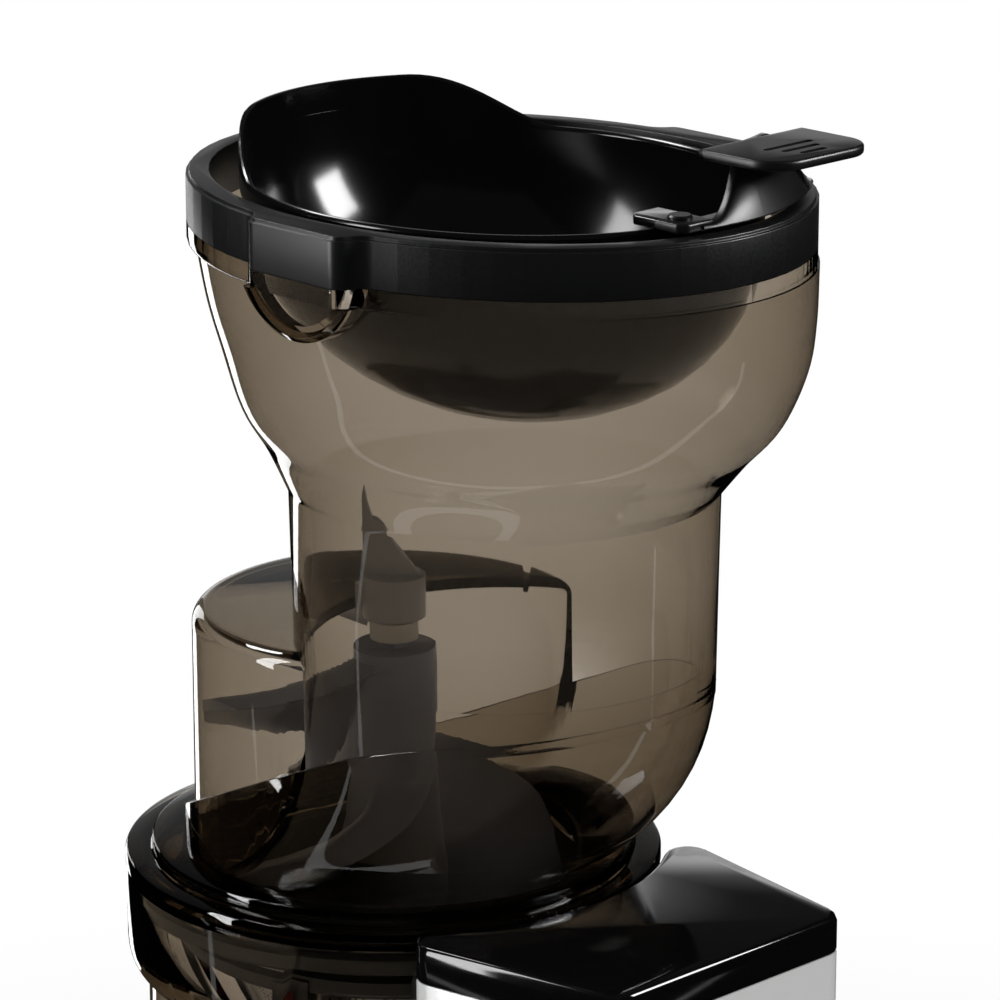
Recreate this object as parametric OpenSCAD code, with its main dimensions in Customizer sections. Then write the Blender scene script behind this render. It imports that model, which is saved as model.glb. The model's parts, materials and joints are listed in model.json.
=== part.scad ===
// Cold press juicer: motor base with a rear column, juicing bowl, auger, strainer,
// and a lid whose wide feed neck carries a tilting feed tray.

/* [Base] */
// Height of the platform that the bowl stands on
base_h = 150; // [146:1:170]
// Radius of the round front of the base
base_r = 84; // [80:1:96]
// Wall of the base and column shells
base_wall = 3; // [2:0.5:4]
// Thickness of the platform
platform_t = 4.5; // [4:0.5:6]
// Radius of the platform's rounded edge
base_round = 8; // [4:1:10]
// How far the rubber feet lift the shell
foot_h = 5; // [4:0.5:8]
// Radius of a rubber foot
foot_r = 10; // [7:0.5:12]
// Thickness of the bottom cover
bottom_t = 3; // [2:0.5:4]

/* [Column] */
// Distance of the column's rear wall from the drive axis
col_rear = 121.5; // [116:0.5:135]
// Half width of the column at its reference line
col_half = 52.5; // [46:0.5:58]
// Distance of that line from the drive axis
col_ref = 55; // [50:1:60]
// Taper of each side of the column, in degrees
col_taper = 10; // [4:1:12]
// Corner radius of the column
col_corner = 6.5; // [5:0.5:8]
// Gap between the bowl's rim and the column
bowl_gap = 1.7; // [1:0.1:3]
// Height of the column cover's side
cover_h = 10; // [7:0.5:14]
// Height of the cover's top above the lid flange
cover_rise = 1.4; // [0:0.2:3]

/* [Bowl] */
// Height of the bowl from its foot to its rim
bowl_h = 125; // [115:1:145]
// Outer radius of the bowl's wall
bowl_r = 64.5; // [64:0.5:66]
// Wall of the bowl
bowl_wall = 2.5; // [1.5:0.25:3]
// How far the rim band stands out from the bowl's wall
rim_out = 5.3; // [4:0.1:7]
// Height of the rim band
rim_h = 19; // [14:1:24]
// Height of the bowl's floor above its foot
floor_h = 20; // [18:1:24]
// Thickness of the bowl's floor
floor_t = 3; // [2.5:0.5:4]
// How far the spouts reach from the drive axis
spout_reach = 112; // [104:1:118]
// Outer width of a spout
spout_w = 28; // [24:1:30]
// Outer height of the juice spout
spout_h = 22; // [18:1:26]

/* [Lid] */
// How far the lid's flange stands out from the bowl's rim
flange_out = 0.2; // [0:0.1:2]
// Thickness of the lid flange
flange_t = 4.4; // [3:0.2:6]
// Radius of the step on the flange
step_r = 63; // [60:0.5:66]
// Height of that step
step_h = 3; // [2:0.5:5]
// Radius of the lower drum
drum_r = 54.4; // [53.6:0.2:56]
// Radius of the auger housing
housing_r = 51.7; // [51:0.1:52.4]
// Height of the auger housing above the flange
housing_h = 65; // [62:1:66]
// Wall of the lid and hopper
lid_wall = 2.5; // [2:0.25:3]
// Radius of the feed neck
neck_r = 54; // [52:0.5:56]
// Distance of the neck's centre from the drive axis
neck_y = 41.5; // [38:0.5:45]
// Height of the crease between neck and hopper above the flange
neck_top = 105; // [100:1:115]

/* [Hopper] */
// Half length of the hopper ring, front to back
ring_a = 84.7; // [80:0.1:90]
// Half width of the hopper ring
ring_b = 70.7; // [68:0.1:76]
// Distance of the ring's centre from the drive axis
ring_y = 39.3; // [36:0.1:42]
// Height of the ring's top above the flange
ring_top = 183.4; // [178:0.2:195]
// Height of the ring
ring_h = 12.7; // [11:0.1:16]
// Width of the ring's top face
ring_w = 5.8; // [4.5:0.1:7]
// Height of the bead under the ring
bead_h = 5.5; // [4:0.5:8]
// Distance of the lugs' outer faces from the middle
lug_x = 74.3; // [73:0.1:78]
// Length of a lug
lug_l = 34; // [28:1:38]

/* [Feed tray] */
// Half length of the tray's rim
tray_a = 69; // [64:0.5:72]
// Half width of the tray's rim
tray_b = 60; // [56:0.5:61]
// Depth of the tray
tray_depth = 57; // [40:1:60]
// Wall of the tray
tray_wall = 2.2; // [1.6:0.2:3]
// Height of the scoop wall above the ring
scoop_h = 13; // [8:1:18]
// Height of the thumb tab's top above the ring
tab_h = 17.6; // [14:0.2:22]
// Distance of the pivot from the drive axis
pivot_y = 44.5; // [42:0.5:47]
// Radius of the pivot pins
pivot_r = 4; // [3:0.25:4.5]

/* [Strainer and brush] */
// Inner radius of the mesh cone at its bottom
mesh_r0 = 34.5; // [33:0.5:36]
// Inner radius of the mesh cone at its top
mesh_r1 = 46; // [44:0.5:47]
// Thickness of the mesh
mesh_t = 0.8; // [0.5:0.1:1.2]
// Width of the brush blades' clearance to the mesh
wiper_gap = 2.4; // [2:0.2:3]

/* [Auger] */
// Radius of the auger's body at its top
auger_r1 = 11; // [9:0.5:13]
// Radius of the auger's body at its foot
auger_r0 = 27; // [24:0.5:29]
// Height of the auger's shoulder above the flange
auger_top = 53; // [48:1:54]
// Rise of the flights in one turn
auger_pitch = 96; // [80:2:120]
// Clearance between flights and the walls around them
flight_gap = 0.8; // [0.5:0.1:1.5]

/* [Drive] */
// Radius of the motor shaft
shaft_r = 4; // [3:0.25:4.25]
// Radius of the output shaft
output_r = 8; // [8:0.1:8.4]
// Width across the flats of the drive hexagon
hex_af = 13.6; // [11:0.1:13.8]
// Length of the drive hexagon
hex_l = 26; // [20:1:30]
// Radius of the motor's iron core
stator_r = 42; // [40:0.5:46]
// Height of the motor's iron core
stator_h = 34; // [28:1:36]
// Face width of the planet gears
gear_w = 8; // [6:0.5:9]

/* [Fits] */
// Running clearance of a shaft in its bore
run_fit = 0.05; // [0.02:0.01:0.1]
// Gap where one piece rests on another
seat_gap = 0.3; // [0.2:0.05:0.5]
// Half the play between meshing teeth
backlash = 0.12; // [0.08:0.01:0.2]

/* [Hidden] */
$fn = 64;

// Gaps and small sizes that recur
slip = 0.1;
pivot_drop = 7;

// Levels above the table
bowl_z = base_h + seat_gap;
floor_z = bowl_z + floor_h;
rim_z = bowl_z + bowl_h;
flange_z = rim_z + seat_gap + flange_t;
cover_top = flange_z + cover_rise;
cover_z = cover_top - cover_h;
ring_z = flange_z + ring_top;
bead_z = ring_z - ring_h;
tray_z = ring_z;
pivot_z = ring_z - pivot_drop;

// Radii that follow from the driving sizes
bowl_in = bowl_r - bowl_wall;
rim_r = bowl_r + rim_out;
flange_r = rim_r + flange_out;
col_front_r = rim_r + bowl_gap;
housing_in = housing_r - lid_wall;
neck_in = neck_r - lid_wall;

// Thumb tab
tab_x = -16.5;
tab_half = 18;
tab_l = 25;
tab_t = 2.6;
tab_corner = 9;
tab_root = ring_y + tray_a - 0.5;
tab_tip = tab_root + tab_l;

// The drive axis stands where the whole machine is centred front to back
cap_t = 4;
base_back = 2;
axis_y = -(max(tab_tip, col_rear + 5) - base_r) / 2;

white = [0.93, 0.93, 0.92];
gloss_black = [0.03, 0.03, 0.035];
satin_black = [0.07, 0.07, 0.075];
smoke = [0.42, 0.37, 0.32, 0.5];
graphite = [0.17, 0.18, 0.19];
steel = [0.72, 0.73, 0.75];
copper = [0.72, 0.38, 0.2];
nylon = [0.9, 0.89, 0.86];
rubber = [0.1, 0.1, 0.1];
seal_grey = [0.35, 0.36, 0.37];
board_green = [0.1, 0.3, 0.16];
wiper_red = [0.75, 0.2, 0.12];

module on_axis() translate([0, axis_y, 0]) children();
module at_flange() translate([0, axis_y, flange_z]) children();
module around(n, start = 0) for (i = [0 : n - 1]) rotate([0, 0, start + i * 360 / n]) children();
module ring(r0, r1, h) difference() {
  cylinder(r = r1, h = h);
  translate([0, 0, -1]) cylinder(r = r0, h = h + 2);
}

// Outlines are lists of points, counter-clockwise seen from above
function arc(c, r, a0, a1, n) = [for (i = [0 : n]) let (a = a0 + (a1 - a0) * i / n) c + r * [cos(a), sin(a)]];
function oval(a, b, cy, z, n) = [for (i = [0 : n - 1]) let (t = i * 360 / n) [b * cos(t), cy + a * sin(t), z]];
function lift(points, z) = [for (p = points) [p[0], p[1], z]];
function smooth(t) = let (u = min(max(t, 0), 1)) u * u * (3 - 2 * u);

// A solid through a stack of outlines, with a fan of faces round c0 and c1 at its ends;
// a closed one runs back to its first outline and has no ends
module loft(sections, c0 = [0, 0, 0], c1 = [0, 0, 0], closed = false) {
  n = len(sections[0]);
  m = len(sections);
  sides = [for (j = [0 : closed ? m - 1 : m - 2], i = [0 : n - 1], k = [0, 1])
    let (a = j * n, b = ((j + 1) % m) * n, i2 = (i + 1) % n)
    k == 0 ? [a + i, b + i, b + i2] : [a + i, b + i2, a + i2]];
  ends = closed ? [] : concat(
    [for (i = [0 : n - 1]) [m * n, i, (i + 1) % n]],
    [for (i = [0 : n - 1]) [m * n + 1, (m - 1) * n + (i + 1) % n, (m - 1) * n + i]]);
  polyhedron(points = concat([for (s = sections) each s], closed ? [] : [c0, c1]), faces = concat(sides, ends));
}

// Column outline, drawn in from its outside by d
col_slope = tan(col_taper);
rear_c = let (y = col_rear - col_corner)
  [col_half - col_slope * (y - col_ref) - col_corner / cos(col_taper), y];
fillet_x = col_half + col_slope * col_ref - col_corner / cos(col_taper);
fillet_d = col_front_r + col_corner;
fillet_y = (col_slope * fillet_x + sqrt(pow(fillet_d, 2) * (1 + pow(col_slope, 2)) - pow(fillet_x, 2)))
  / (1 + pow(col_slope, 2));
front_c = [fillet_x - col_slope * fillet_y, fillet_y];
front_a = atan2(front_c[1], front_c[0]);
function flip(c) = [-c[0], c[1]];
function column_outline(d = 0) = let (r = col_corner - d) concat(
  arc(front_c, r, front_a + 180, 360 + col_taper, 6),
  arc(rear_c, r, col_taper, 90, 4),
  arc(flip(rear_c), r, 90, 180 - col_taper, 4),
  arc(flip(front_c), r, 180 - col_taper, 360 - front_a, 6),
  [for (i = [1 : 15]) let (a = 180 - front_a - (180 - 2 * front_a) * i / 16) (col_front_r + d) * [cos(a), sin(a)]]);
col_mid = [0, (col_front_r + col_rear) / 2];

// Base outline, drawn in by d
base_corner = 14;
base_c = [rear_c[0] - 4, col_rear + base_back - base_corner];
base_a = atan2(base_c[1], base_c[0]) - acos((base_r - base_corner) / norm(base_c));
function base_outline(d = 0) = concat(
  arc([0, 0], base_r - d, 180 - base_a, 360 + base_a, 30),
  arc(base_c, base_corner - d, base_a, 90, 5),
  arc(flip(base_c), base_corner - d, 90, 180 - base_a, 5));
base_mid = [0, 15];

// Solid inside a stack of [inset, height] pairs
module base_solid(profile) loft([for (p = profile) lift(base_outline(p[0]), p[1])],
  [base_mid[0], base_mid[1], profile[0][1]], [base_mid[0], base_mid[1], profile[len(profile) - 1][1]]);
module column_solid(profile) loft([for (p = profile) lift(column_outline(p[0]), p[1])],
  [col_mid[0], col_mid[1], profile[0][1]], [col_mid[0], col_mid[1], profile[len(profile) - 1][1]]);

// Levels of the drive, downwards from the platform
housing_top = base_h - platform_t;
carrier_t = 3;
carrier_gap = 0.6;
cap_plate_t = 3.5;
output_z = housing_top - cap_plate_t - carrier_gap - carrier_t;
second_z = output_z - carrier_gap - gear_w;
carrier_z = second_z - carrier_gap - carrier_t;
gear_z = carrier_z - carrier_gap - gear_w;
plate_t = 4;
plate_top = gear_z - 1.5;
plate_z = plate_top - plate_t;
winding_h = 12;
core_z = plate_z - winding_h - stator_h;
bell_t = 3;
bell_z = core_z - winding_h - bell_t;
fan_h = 9;
fan_z = bell_z - 3 - fan_h;
shaft_bottom = fan_z - 4;
bearing_h = 7;
bearing_r = 11;

// Levels inside the bowl
floor_top = floor_z + floor_t;
mesh_gear_z = floor_top + 0.7;
mesh_gear_h = 6;
plate2_z = mesh_gear_z + mesh_gear_h + 1.5;
plate2_t = 3;
mesh_z0 = plate2_z + plate2_t;
mesh_z1 = rim_z - 13;
strain_top = rim_z - 3.3;
hub_r = 12;
hub_top = floor_top + 15;
hex_z = hub_top + 4;
auger_z = flange_z + auger_top;

// Gears: the pressure angle is large and the teeth are short, so that small gears need no undercut
gear_angle = 25;
addendum = 0.8;
dedendum = 1.1;
sun_teeth = 12;
planet_teeth = 18;
ring_teeth = sun_teeth + 2 * planet_teeth;
planet_m = 1;
planet_d = planet_m * (sun_teeth + planet_teeth) / 2;
planet_pin = 2.5;
carrier_r = 21;
gearbox_wall = 3;
ring_gear_r = planet_m * ring_teeth / 2 + 4;
brush_m = 2;
auger_teeth = 18;
idler_teeth = 19;
brush_teeth = auger_teeth + 2 * idler_teeth;
idler_d = brush_m * (auger_teeth + idler_teeth) / 2;
idler_a = 180;
idler_pin = 3;
locate_r = 2;

function involute(a) = tan(a) * 180 / PI - a;
function half_tooth(r, n, m, play) = 90 / n - play * 360 / (PI * m * n)
  + involute(gear_angle) - involute(acos(min(1, m * n / 2 * cos(gear_angle) / r)));
function gear_outline(n, m, top, bottom, play) = let (
  foot = m * (n / 2 - bottom), tip = m * (n / 2 + top), low = max(foot, m * n / 2 * cos(gear_angle)),
  flank = concat(foot < low ? [foot] : [], [low, (low + tip) / 2, tip]), last = len(flank) - 1)
  [for (k = [0 : n - 1], i = [-last - 1 : last])
    let (r = i < 0 ? flank[i + last + 1] : flank[last - i],
      a = k * 360 / n + (i < 0 ? -1 : 1) * half_tooth(max(r, low), n, m, play))
    r * [cos(a), sin(a)]];
module gear(n, m, h) linear_extrude(h) polygon(gear_outline(n, m, addendum, dedendum, backlash));
module gear_space(n, m, h) linear_extrude(h) polygon(gear_outline(n, m, dedendum, addendum, -backlash));

// Base and column
post_r = 6;
post_top = 40;
post_spots = concat(
  [for (a = [-45, -135]) (base_r - base_wall - 3.5) * [cos(a), sin(a)]],
  [for (s = [-1, 1]) [s * (base_c[0] + 4), base_c[1] + 4]]);
foot_at = base_r / 2;
foot_spots = [[-foot_at, -foot_at], [foot_at, -foot_at], [-30, 92], [30, 92]];
mount_r = 50;
boss_r = 5;
bottom_chamfer = 2;
column_root = 14;
collar_r = 16;
seal_r = 12;
inlet_r = 6.9;
cord_r = 3.6;
standoff_r = 3;
standoff_l = 12;
board_screw_r = 1.2;
board_screw_l = 7;
shelf_w = 24;
shelf_h = 26;
stem_r = 3;
vent = [3, 60];
vent_x = [-40 : 8 : 40];
cover_wall = 2;
cover_lip = 5;
screw_r = 2;
head_r = 4;
head_h = 2.5;
thread_l = 12;
seat_r = rim_r - 0.3;
seat_h = 8;
lug_w = 10;
lug_h = 5;
lug_t = 2.6;
lug_turns = [70, 180, 290];
pulp_a = 0;
juice_a = 180;
board_y = col_rear - base_wall - 11;
board_z = [base_h + 20, base_h + 100];
standoffs = [for (x = [-20, 20], z = [board_z[0] + 6, board_z[1] - 6]) [x, z]];
cap_r = 15;
cap_y = col_rear - 34;
cap_z = [62, 108];
inlet_z = 26;
switch_z = 100;
switch_w = 14;
switch_half = 12.6;
switch_wall = 1.7;
switch_out = switch_w / 2 + switch_wall + slip;
plunger_r = 2.2;
plunger_x = -(bowl_r + 1.8);
guide_z = housing_top - 8;
collar_z = guide_z - 4.5;
spring_z = collar_z - 9;
spring_r = 3.2;
wire_r = 0.45;
inter = [10, 14, 9];
collar_t = 1.5;
push_r = 1.6;
module at_switch() rotate([0, 0, base_a]) translate([base_r, 40, switch_z]) children();

module base_shell() color(white) on_axis() {
  difference() {
    union() {
      base_solid(concat([[bottom_chamfer, foot_h], [0, foot_h + bottom_chamfer]],
        [for (i = [0 : 5]) [base_round * (1 - cos(i * 18)), base_h - base_round * (1 - sin(i * 18))]]));
      column_solid([[0, base_h - column_root], [0, cover_z]]);
    }
    base_solid([[base_wall, foot_h - 1], [base_wall, housing_top]]);
    column_solid([[base_wall, housing_top - 1], [base_wall, cover_z + 1]]);
    cylinder(r = collar_r + seat_gap, h = base_h + 1);
    translate([plunger_x, 0, 0]) cylinder(r = plunger_r + run_fit, h = base_h + 1);
    translate([0, col_rear, inlet_z]) rotate([90, 0, 0])
      cylinder(r = inlet_r + slip, h = 4 * base_wall, center = true);
    at_switch() translate([-10, -switch_out, -switch_half - switch_wall - slip])
      cube([20, 2 * switch_out, 2 * (switch_half + switch_wall + slip)]);
  }
  for (p = post_spots) translate([p[0], p[1], foot_h + bottom_t]) difference() {
    cylinder(r = post_r, h = post_top);
    translate([0, 0, -1]) cylinder(r = screw_r, h = thread_l + 1);
  }
  around(4, 45) translate([mount_r, 0, plate_top]) difference() {
    cylinder(r = boss_r, h = housing_top - plate_top + 1);
    translate([0, 0, -1]) cylinder(r = screw_r, h = thread_l + 1);
  }
  translate([plunger_x, 0, guide_z]) ring(plunger_r + run_fit, 5, housing_top - guide_z + 1);
  for (p = standoffs) translate([p[0], board_y, p[1]]) rotate([-90, 0, 0]) difference() {
    cylinder(r = standoff_r, h = standoff_l);
    translate([0, 0, -1]) cylinder(r = board_screw_r, h = board_screw_l);
  }
  difference() {
    translate([-shelf_w / 2, cap_y + 6, cap_z[0] + 8]) cube([shelf_w, col_rear - cap_y - 6, shelf_h]);
    translate([0, cap_y, cap_z[0]]) cylinder(r = cap_r, h = shelf_h + 10);
  }
}

module bottom_cover() color(graphite) on_axis() difference() {
  base_solid([[base_wall + 0.3, foot_h], [base_wall + 0.3, foot_h + bottom_t]]);
  for (p = post_spots) translate([p[0], p[1], 0]) cylinder(r = screw_r + 0.2, h = foot_h + bottom_t + 1);
  for (p = foot_spots) translate([p[0], p[1], 0]) cylinder(r = stem_r, h = foot_h + bottom_t + 1);
  for (x = vent_x) translate([x - vent[0] / 2, -vent[1] / 3, 0]) cube([vent[0], vent[1], foot_h + bottom_t + 1]);
}

module rubber_feet() color(rubber) on_axis() for (p = foot_spots) translate([p[0], p[1], 0]) {
  cylinder(r = foot_r, h = foot_h);
  cylinder(r = stem_r, h = foot_h + bottom_t + 1);
}

module screws(spots, z) for (p = spots) translate([p[0], p[1], z]) {
  translate([0, 0, -head_h]) cylinder(r = head_r, h = head_h);
  cylinder(r = screw_r, h = thread_l);
}

module bottom_screws() color(steel) on_axis() screws(post_spots, foot_h);
module motor_plate_screws() color(steel) on_axis()
  screws([for (a = [45 : 90 : 315]) mount_r * [cos(a), sin(a)]], plate_z);

module column_cover() color(gloss_black) on_axis() difference() {
  union() {
    column_solid([[0, cover_z], [0, cover_top - 2], [0.6, cover_top - 0.6], [2, cover_top]]);
    column_solid([[base_wall + slip, cover_z - cover_lip], [base_wall + slip, cover_z + 1]]);
  }
  column_solid([[base_wall + slip + cover_wall, cover_z - cover_lip - 1],
    [base_wall + slip + cover_wall, cover_top - cover_wall - 0.5]]);
}

module bowl_seat() color(satin_black) on_axis() translate([0, 0, base_h]) difference() {
  ring(bowl_r + 0.7, seat_r, seat_h);
  for (a = lug_turns) rotate([0, 0, a]) translate([0, -lug_w / 2 - 1, -1])
    cube([bowl_r + lug_t + 0.8, lug_w + 2, seat_h + 2]);
  rotate([0, 0, pulp_a]) translate([0, -spout_w / 2 - 1, -1]) cube([base_r, spout_w + 2, seat_h + 2]);
}

// Motor
bolt_r = 2;
bolt_head_r = 3.5;
bolt_d = stator_r - 3;
skirt_in = stator_r - 5.8;
plate_edge = 6;
bearing_wall = 2.5;
bearing_in = 1.5;
stator_in = 26;
rotor_r = 25.4;
winding_in = 28;
winding_out = skirt_in - 0.4;
winding_l = winding_h - 2;
pinion_r = 3;
bell_vent_r = 5;
bell_vent_d = 24;
fan_r = 35;
fan_wall = 1.6;
fan_hub = 4;
fan_blades = 9;
module bolt_holes(h) around(4) translate([bolt_d, 0, -1]) cylinder(r = bolt_r + slip, h = h + 2);

module motor_plate() color(steel) on_axis() translate([0, 0, plate_z]) difference() {
  union() {
    cylinder(r = mount_r + plate_edge, h = plate_t);
    translate([0, 0, -winding_h]) ring(skirt_in, stator_r, winding_h);
    translate([0, 0, -bearing_h + plate_t - bearing_in]) cylinder(r = bearing_r + bearing_wall, h = bearing_h);
  }
  translate([0, 0, -bearing_h]) cylinder(r = bearing_r, h = bearing_h + plate_t - bearing_in);
  cylinder(r = shaft_r + 1, h = plate_t + 1);
  around(4, 45) translate([mount_r, 0, -1]) cylinder(r = screw_r + 0.2, h = plate_t + 2);
  translate([0, 0, -winding_h]) bolt_holes(winding_h + plate_t);
}

module stator_core() color(steel) on_axis() translate([0, 0, core_z]) difference() {
  ring(stator_in, stator_r, stator_h);
  bolt_holes(stator_h);
}

module stator_windings() color(copper) on_axis() {
  for (z = [core_z - winding_l, core_z + stator_h]) translate([0, 0, z]) ring(winding_in, winding_out, winding_l);
}

module end_bell() color(steel) on_axis() translate([0, 0, bell_z]) difference() {
  union() {
    cylinder(r = stator_r, h = bell_t);
    ring(skirt_in, stator_r, winding_h + bell_t);
    cylinder(r = bearing_r + bearing_wall, h = bearing_h + bearing_in);
  }
  translate([0, 0, bearing_in]) cylinder(r = bearing_r, h = bearing_h + 1);
  translate([0, 0, -1]) cylinder(r = shaft_r + 1, h = 4);
  bolt_holes(winding_h + bell_t);
  around(8, 22.5) translate([bell_vent_d, 0, -1]) cylinder(r = bell_vent_r, h = bell_t + 2);
}

module motor_bolts() color(steel) on_axis() around(4) translate([bolt_d, 0, bell_z - head_h]) {
  cylinder(r = bolt_head_r, h = head_h);
  cylinder(r = bolt_r, h = plate_top - bell_z + head_h);
}

module motor_bearings() color(steel) on_axis() {
  for (z = [bell_z + bearing_in, plate_top - bearing_in - bearing_h])
    translate([0, 0, z]) ring(shaft_r + run_fit, bearing_r, bearing_h);
}

module rotor() color(steel) on_axis() {
  translate([0, 0, core_z]) cylinder(r = rotor_r, h = stator_h);
  translate([0, 0, shaft_bottom]) cylinder(r = shaft_r, h = gear_z - 1 - shaft_bottom);
  translate([0, 0, gear_z - 1]) cylinder(r = pinion_r, h = gear_w + 1);
}

module cooling_fan() color(graphite) on_axis() translate([0, 0, fan_z]) {
  ring(shaft_r, shaft_r + fan_hub, fan_h);
  ring(shaft_r + fan_hub - 1, fan_r, fan_wall);
  around(fan_blades) translate([shaft_r + fan_hub - 1, -fan_wall / 2, 1])
    cube([fan_r - shaft_r - fan_hub + 1, fan_wall, fan_h - 1]);
}

module sun_gear() color(steel) on_axis() translate([0, 0, gear_z]) difference() {
  gear(sun_teeth, planet_m, gear_w);
  translate([0, 0, -1]) cylinder(r = pinion_r, h = gear_w + 2);
}

// Gearbox
module gear_housing() color(graphite) on_axis() {
  translate([0, 0, plate_top]) ring(ring_gear_r, ring_gear_r + gearbox_wall, housing_top - plate_top);
  difference() {
    translate([0, 0, housing_top - cap_plate_t]) cylinder(r = ring_gear_r + 1, h = cap_plate_t);
    translate([0, 0, housing_top - cap_plate_t - 1]) cylinder(r = seal_r, h = cap_plate_t + 2);
  }
  translate([0, 0, housing_top]) ring(seal_r, collar_r, platform_t - 1);
}

module ring_gear() color(steel) on_axis() translate([0, 0, gear_z - 0.5]) difference() {
  cylinder(r = ring_gear_r, h = output_z - gear_z);
  translate([0, 0, -1]) rotate([0, 0, 180 / ring_teeth]) gear_space(ring_teeth, planet_m, output_z - gear_z + 2);
}

module planet(i, z) color(nylon) on_axis() rotate([0, 0, i * 120]) translate([planet_d, 0, z]) difference() {
  rotate([0, 0, 180 / planet_teeth]) gear(planet_teeth, planet_m, gear_w);
  translate([0, 0, -1]) cylinder(r = planet_pin + run_fit, h = gear_w + 2);
}
module planet_pins(z, h) around(3) translate([planet_d, 0, z]) cylinder(r = planet_pin, h = h);

module first_planet_a() planet(0, gear_z);
module first_planet_b() planet(1, gear_z);
module first_planet_c() planet(2, gear_z);
module second_planet_a() planet(0, second_z);
module second_planet_b() planet(1, second_z);
module second_planet_c() planet(2, second_z);

module first_carrier() color(steel) on_axis() {
  translate([0, 0, carrier_z]) cylinder(r = carrier_r, h = carrier_t);
  planet_pins(gear_z - 0.5, carrier_z - gear_z + 1);
  translate([0, 0, carrier_z + carrier_t - 0.5]) gear(sun_teeth, planet_m, output_z - carrier_z - carrier_t);
}

module drive_shaft() color(steel) on_axis() {
  translate([0, 0, output_z]) cylinder(r = carrier_r, h = carrier_t);
  planet_pins(second_z - 0.3, output_z - second_z + 1);
  translate([0, 0, output_z + 1]) cylinder(r = output_r, h = hex_z - output_z - 1);
  translate([0, 0, hex_z - 1]) cylinder(r = hex_af / 2 / cos(30), h = hex_l + 1, $fn = 6);
}

module output_bearing() color(copper) on_axis()
  translate([0, 0, housing_top - cap_plate_t]) ring(output_r + run_fit, seal_r, cap_plate_t + platform_t - 1.5);

module shaft_seal() color(rubber) on_axis()
  translate([0, 0, base_h - 1.5]) ring(output_r + run_fit, seal_r, cap_plate_t);

// Electrics
board_w = 52;
board_t = 1.6;
// Boxes on the board: left edge, width, depth, foot above the board's lower edge, height
board_boxes = [[-14, 26, 14, 12, 18], [-16, 14, 18, 38, 20], [-12, 24, 8, 64, 9]];
// The round one: x, height above the lower edge, radius, depth
board_can = [8, 48, 6, 16];
module control_board() color(board_green) on_axis() translate([0, board_y - board_t, board_z[0]]) {
  difference() {
    translate([-board_w / 2, 0, 0]) cube([board_w, board_t, board_z[1] - board_z[0]]);
    for (p = standoffs) translate([p[0], 0, p[1] - board_z[0]]) rotate([90, 0, 0])
      cylinder(r = board_screw_r, h = 10, center = true);
  }
  for (b = board_boxes) translate([b[0], -b[2], b[3]]) cube([b[1], b[2], b[4]]);
  translate([board_can[0], 0, board_can[1]]) rotate([90, 0, 0]) cylinder(r = board_can[2], h = board_can[3]);
}

terminal = [0.8, 6, 8];
module run_capacitor() color(graphite) on_axis() {
  translate([0, cap_y, cap_z[0]]) cylinder(r = cap_r, h = cap_z[1] - cap_z[0]);
  for (x = [-5, 5]) translate([x - terminal[0] / 2, cap_y - terminal[1] / 2, cap_z[1]]) cube(terminal);
}

module cord_inlet() color(satin_black) on_axis() translate([0, 0, inlet_z]) rotate([90, 0, 0]) {
  translate([0, 0, -col_rear - 5]) ring(cord_r, inlet_r + 3.1, 3);
  translate([0, 0, -col_rear - 2]) ring(cord_r, inlet_r, 9);
  translate([0, 0, -col_rear + base_wall - 2]) ring(inlet_r, inlet_r + 2.1, 3);
}

// Power switch: drawn with X outwards from the wall and Y along it
pivot_in = 7;
rocker_pin = 1.5;
rocker_top = 9.2;
rocker_low = 3;
rocker_half = 10.6;
rocker_back = 4;
hollow_r = 29.9;
hollow_x = 38;
hollow_a = 19;
bezel = 4;
bezel_t = 1.6;
switch_depth = 18;
module switch_frame() color(satin_black) on_axis() at_switch() difference() {
  union() {
    translate([0, -switch_w / 2 - bezel, -switch_half - bezel])
      cube([bezel_t, switch_w + 2 * bezel, 2 * (switch_half + bezel)]);
    translate([-switch_depth, slip - switch_out, -switch_half - switch_wall])
      cube([switch_depth + 1, 2 * (switch_out - slip), 2 * (switch_half + switch_wall)]);
  }
  translate([1.5 - switch_depth, -switch_w / 2 - 2 * slip, -switch_half])
    cube([switch_depth + 2, switch_w + 4 * slip, 2 * switch_half]);
  translate([-pivot_in, 0, 0]) rotate([90, 0, 0])
    cylinder(r = rocker_pin + run_fit, h = switch_w + 2.8, center = true);
}

module power_rocker() color(gloss_black) on_axis() at_switch() translate([-pivot_in, 0, 0]) {
  rotate([90, 0, 0]) cylinder(r = rocker_pin, h = switch_w + 2.6, center = true);
  translate([0, switch_w / 2 - slip, 0]) rotate([90, 0, 0]) linear_extrude(switch_w - 2 * slip) polygon(concat(
    arc([0, 0], rocker_back, 130, 230, 8), [[rocker_low, 0.8 - rocker_half], [rocker_top, -rocker_half]],
    arc([hollow_x, 0], hollow_r, 180 + hollow_a, 180 - hollow_a, 8),
    [[rocker_top, rocker_half], [rocker_low, rocker_half - 0.8]]));
}

module interlock_switch() color(graphite) on_axis() translate([plunger_x, 0, 0]) {
  translate([-inter[0] / 2, -inter[1] / 2, spring_z - inter[2]]) cube(inter);
  for (s = [-1, 1]) translate([-3, s * (inter[1] + 3) / 2 - 1.5, spring_z - inter[2]])
    cube([6, 3, housing_top - spring_z + inter[2]]);
}

module interlock_plunger() color(nylon) on_axis() translate([plunger_x, 0, 0]) {
  translate([0, 0, collar_z]) cylinder(r = plunger_r, h = base_h - collar_z);
  translate([0, 0, collar_z]) cylinder(r = spring_r + 0.8, h = collar_t);
  translate([0, 0, spring_z + 3.5]) cylinder(r = push_r, h = collar_z - spring_z - 3);
}

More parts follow.
